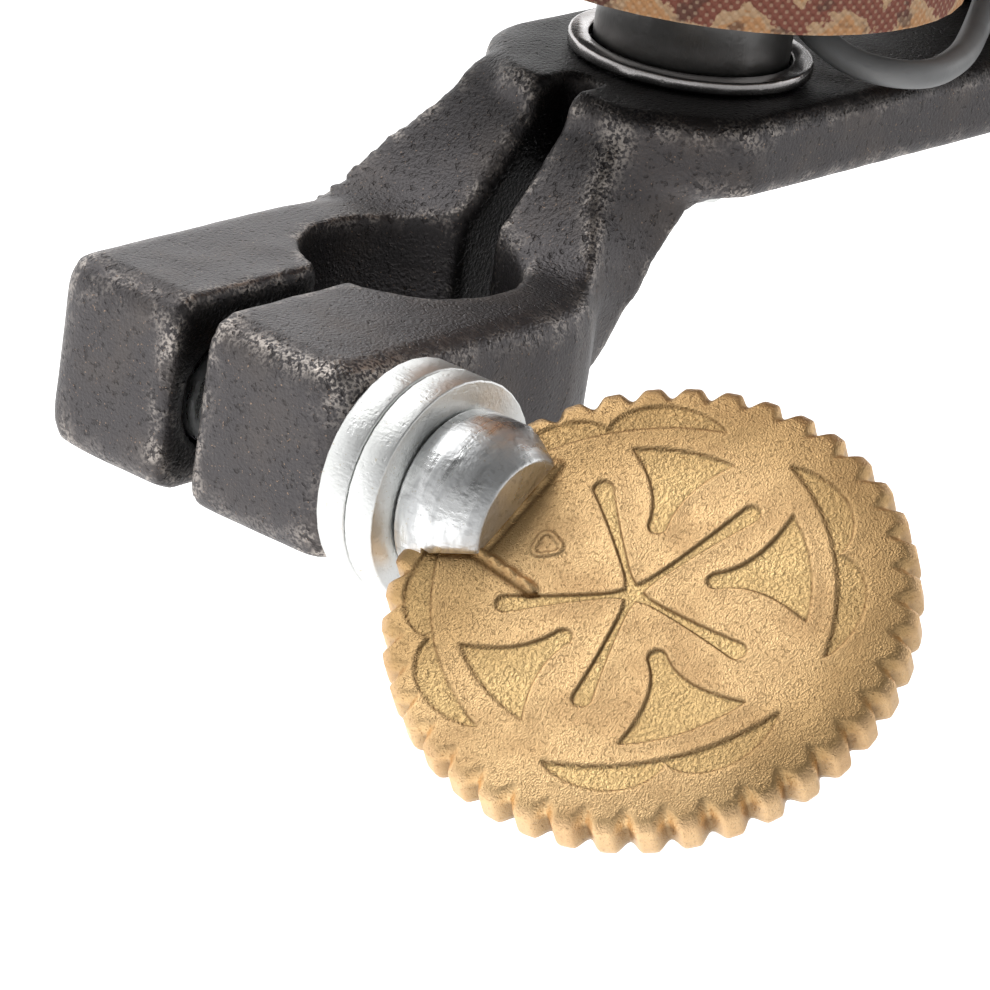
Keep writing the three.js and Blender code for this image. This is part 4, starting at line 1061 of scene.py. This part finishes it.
def round_lead(node):
    shape = bmesh.new()
    shape.from_mesh(frame["nodes"][node].data)
    bmesh.ops.remove_doubles(shape, verts=shape.verts, dist=0.001 * MM)
    bmesh.ops.join_triangles(
        shape, faces=shape.faces, angle_face_threshold=math.pi / 5, angle_shape_threshold=math.pi
    )
    source = bpy.data.meshes.new(node)
    shape.to_mesh(source)
    shape.free()
    mesh = with_modifiers(source, ("SUBSURF", {"levels": 2, "render_levels": 2}))
    mesh.materials.clear()
    mesh.shade_smooth()
    return settle(node + "_round", mesh, node, "sleeve")


def map_round(mesh, axis_x, axis_y):
    """A map whose U runs round the axis and V up it, both in metres."""
    layer = mesh.uv_layers.new(name="round")
    radius = max(math.hypot(v.co.x - axis_x, v.co.y - axis_y) for v in mesh.vertices)
    for face in mesh.polygons:
        middle = math.atan2(face.center.y - axis_y, face.center.x - axis_x)
        for loop in face.loop_indices:
            point = mesh.vertices[mesh.loops[loop].vertex_index].co
            turn = math.atan2(point.y - axis_y, point.x - axis_x) - middle
            turn = (turn + math.pi) % (2 * math.pi) - math.pi + middle
            layer.data[loop].uv = (turn * radius, point.z)


def cloth_wrap(coil):
    node = coil + "_wrap"
    low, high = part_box(node)
    piece = softened(node, "cloth", 0.10)
    map_round(piece.data, (low[0] + high[0]) / 2, (low[1] + high[1]) / 2)
    return piece


for node in LEADS:
    round_lead(node)
wraps = [cloth_wrap(coil) for coil in COILS]
print("wraps:", [wrap.name for wrap in wraps])

# %% [markdown]
# The rear spring is the armature's hinge. It is cut across into short strips. The
# capacitor's legs are bare tinned wire: they are the points above and below its can, where
# the piece is narrow.

# %% Rear spring and capacitor
SPRING_STRIP = 0.6 * MM
CAN_WIDTH = 4 * MM


def bending_spring():
    node = "rear_spring"
    shape = bmesh.new()
    shape.from_mesh(merged_copy(node))
    low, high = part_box(node)
    for place in np.arange(low[1] + SPRING_STRIP, high[1], SPRING_STRIP):
        geometry = shape.verts[:] + shape.edges[:] + shape.faces[:]
        bmesh.ops.bisect_plane(shape, geom=geometry, plane_co=(0, place, 0), plane_no=(0, 1, 0))
    mesh = bpy.data.meshes.new("rear_spring_bent")
    shape.to_mesh(mesh)
    shape.free()
    mesh.materials.append(finishes["spring_steel"])
    piece = bpy.data.objects.new("rear_spring_finished", mesh)
    bpy.context.scene.collection.objects.link(piece)
    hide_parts(node)
    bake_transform(piece)
    return piece


def tinned_legs(piece):
    points = mesh_points(piece.data)
    levels = points[:, 2]
    wide = [
        level
        for level in np.unique(levels.round(5))
        if np.ptp(points[np.abs(levels - level) < 0.02 * MM, 0]) > CAN_WIDTH
    ]
    gap = 0.1 * MM
    legs = (levels < min(wide) - gap) | (levels > max(wide) + gap)
    store(piece.data, "leg", legs.astype(float))


bending_spring()
tinned_legs(softened("capacitor", "can", 0.05))

# %% [markdown]
# The contact screw has a thread. A geometry node tree sweeps a small circle along a spiral,
# with named inputs for its sizes. The result is turned into a plain mesh that rides on the
# screw's body.

# %% Thread
THREAD_PITCH = 0.7 * MM
THREAD_DEPTH = 0.10 * MM


def thread_tree():
    tree = bpy.data.node_groups.new("thread", "GeometryNodeTree")
    for label in ("Radius", "Pitch", "Length", "Depth"):
        tree.interface.new_socket(label, in_out="INPUT", socket_type="NodeSocketFloat")
    tree.interface.new_socket("Finish", in_out="INPUT", socket_type="NodeSocketMaterial")
    tree.interface.new_socket("Geometry", in_out="OUTPUT", socket_type="NodeSocketGeometry")
    given, result = tree.nodes.new("NodeGroupInput"), tree.nodes.new("NodeGroupOutput")
    spiral = tree.nodes.new("GeometryNodeCurveSpiral")
    spiral.inputs["Resolution"].default_value = 20
    turns = maths(tree, "DIVIDE", given.outputs["Length"], given.outputs["Pitch"])
    circle = tree.nodes.new("GeometryNodeCurvePrimitiveCircle")
    circle.inputs["Resolution"].default_value = 6
    sweep = tree.nodes.new("GeometryNodeCurveToMesh")
    sweep.inputs["Fill Caps"].default_value = True
    smooth = tree.nodes.new("GeometryNodeSetShadeSmooth")
    realise = tree.nodes.new("GeometryNodeRealizeInstances")
    finish = tree.nodes.new("GeometryNodeSetMaterial")
    joins = (
        (turns, spiral.inputs["Rotations"]),
        (given.outputs["Radius"], spiral.inputs["Start Radius"]),
        (given.outputs["Radius"], spiral.inputs["End Radius"]),
        (given.outputs["Length"], spiral.inputs["Height"]),
        (given.outputs["Depth"], circle.inputs["Radius"]),
        (spiral.outputs[0], sweep.inputs["Curve"]),
        (circle.outputs[0], sweep.inputs["Profile Curve"]),
        (sweep.outputs[0], smooth.inputs[0]),
        (smooth.outputs[0], realise.inputs[0]),
        (realise.outputs[0], finish.inputs["Geometry"]),
        (given.outputs["Finish"], finish.inputs["Material"]),
        (finish.outputs[0], result.inputs[0]),
    )
    for source, target in joins:
        tree.links.new(source, target)
    return tree


def thread_on(node, tree):
    """A thread on the bare shank under a knob that stands upright."""
    points = mesh_points(frame["nodes"][node].data)
    low, high = points.min(axis=0), points.max(axis=0)
    centre = (low + high) / 2
    out = np.hypot(points[:, 0] - centre[0], points[:, 1] - centre[1])
    radius = out[points[:, 2] < low[2] + 0.01 * MM].max()
    knob = points[out > 1.3 * radius, 2].min()
    holder = bpy.data.objects.new("thread_holder", bpy.data.meshes.new("thread_holder"))
    bpy.context.scene.collection.objects.link(holder)
    modifier = holder.modifiers.new("thread", "NODES")
    modifier.node_group = tree
    sizes = {
        "Radius": radius - THREAD_DEPTH / 2,
        "Pitch": THREAD_PITCH,
        "Length": knob - low[2] - 2 * THREAD_PITCH,
        "Depth": THREAD_DEPTH,
        "Finish": finishes["brass"],
    }
    for item in tree.interface.items_tree:
        if item.name in sizes:
            modifier[item.identifier] = sizes[item.name]
    mesh = bpy.data.meshes.new_from_object(
        holder.evaluated_get(bpy.context.evaluated_depsgraph_get())
    )
    holder.modifiers.remove(modifier)
    bpy.data.objects.remove(holder)
    mesh.transform(Matrix.Translation((centre[0], centre[1], low[2] + THREAD_PITCH)))
    piece = bpy.data.objects.new(node + "_thread", mesh)
    bpy.context.scene.collection.objects.link(piece)
    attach(piece, body_of_node[node])
    return piece


thread = thread_on("contact_screw", thread_tree())
print("thread:", len(thread.data.polygons), "faces")
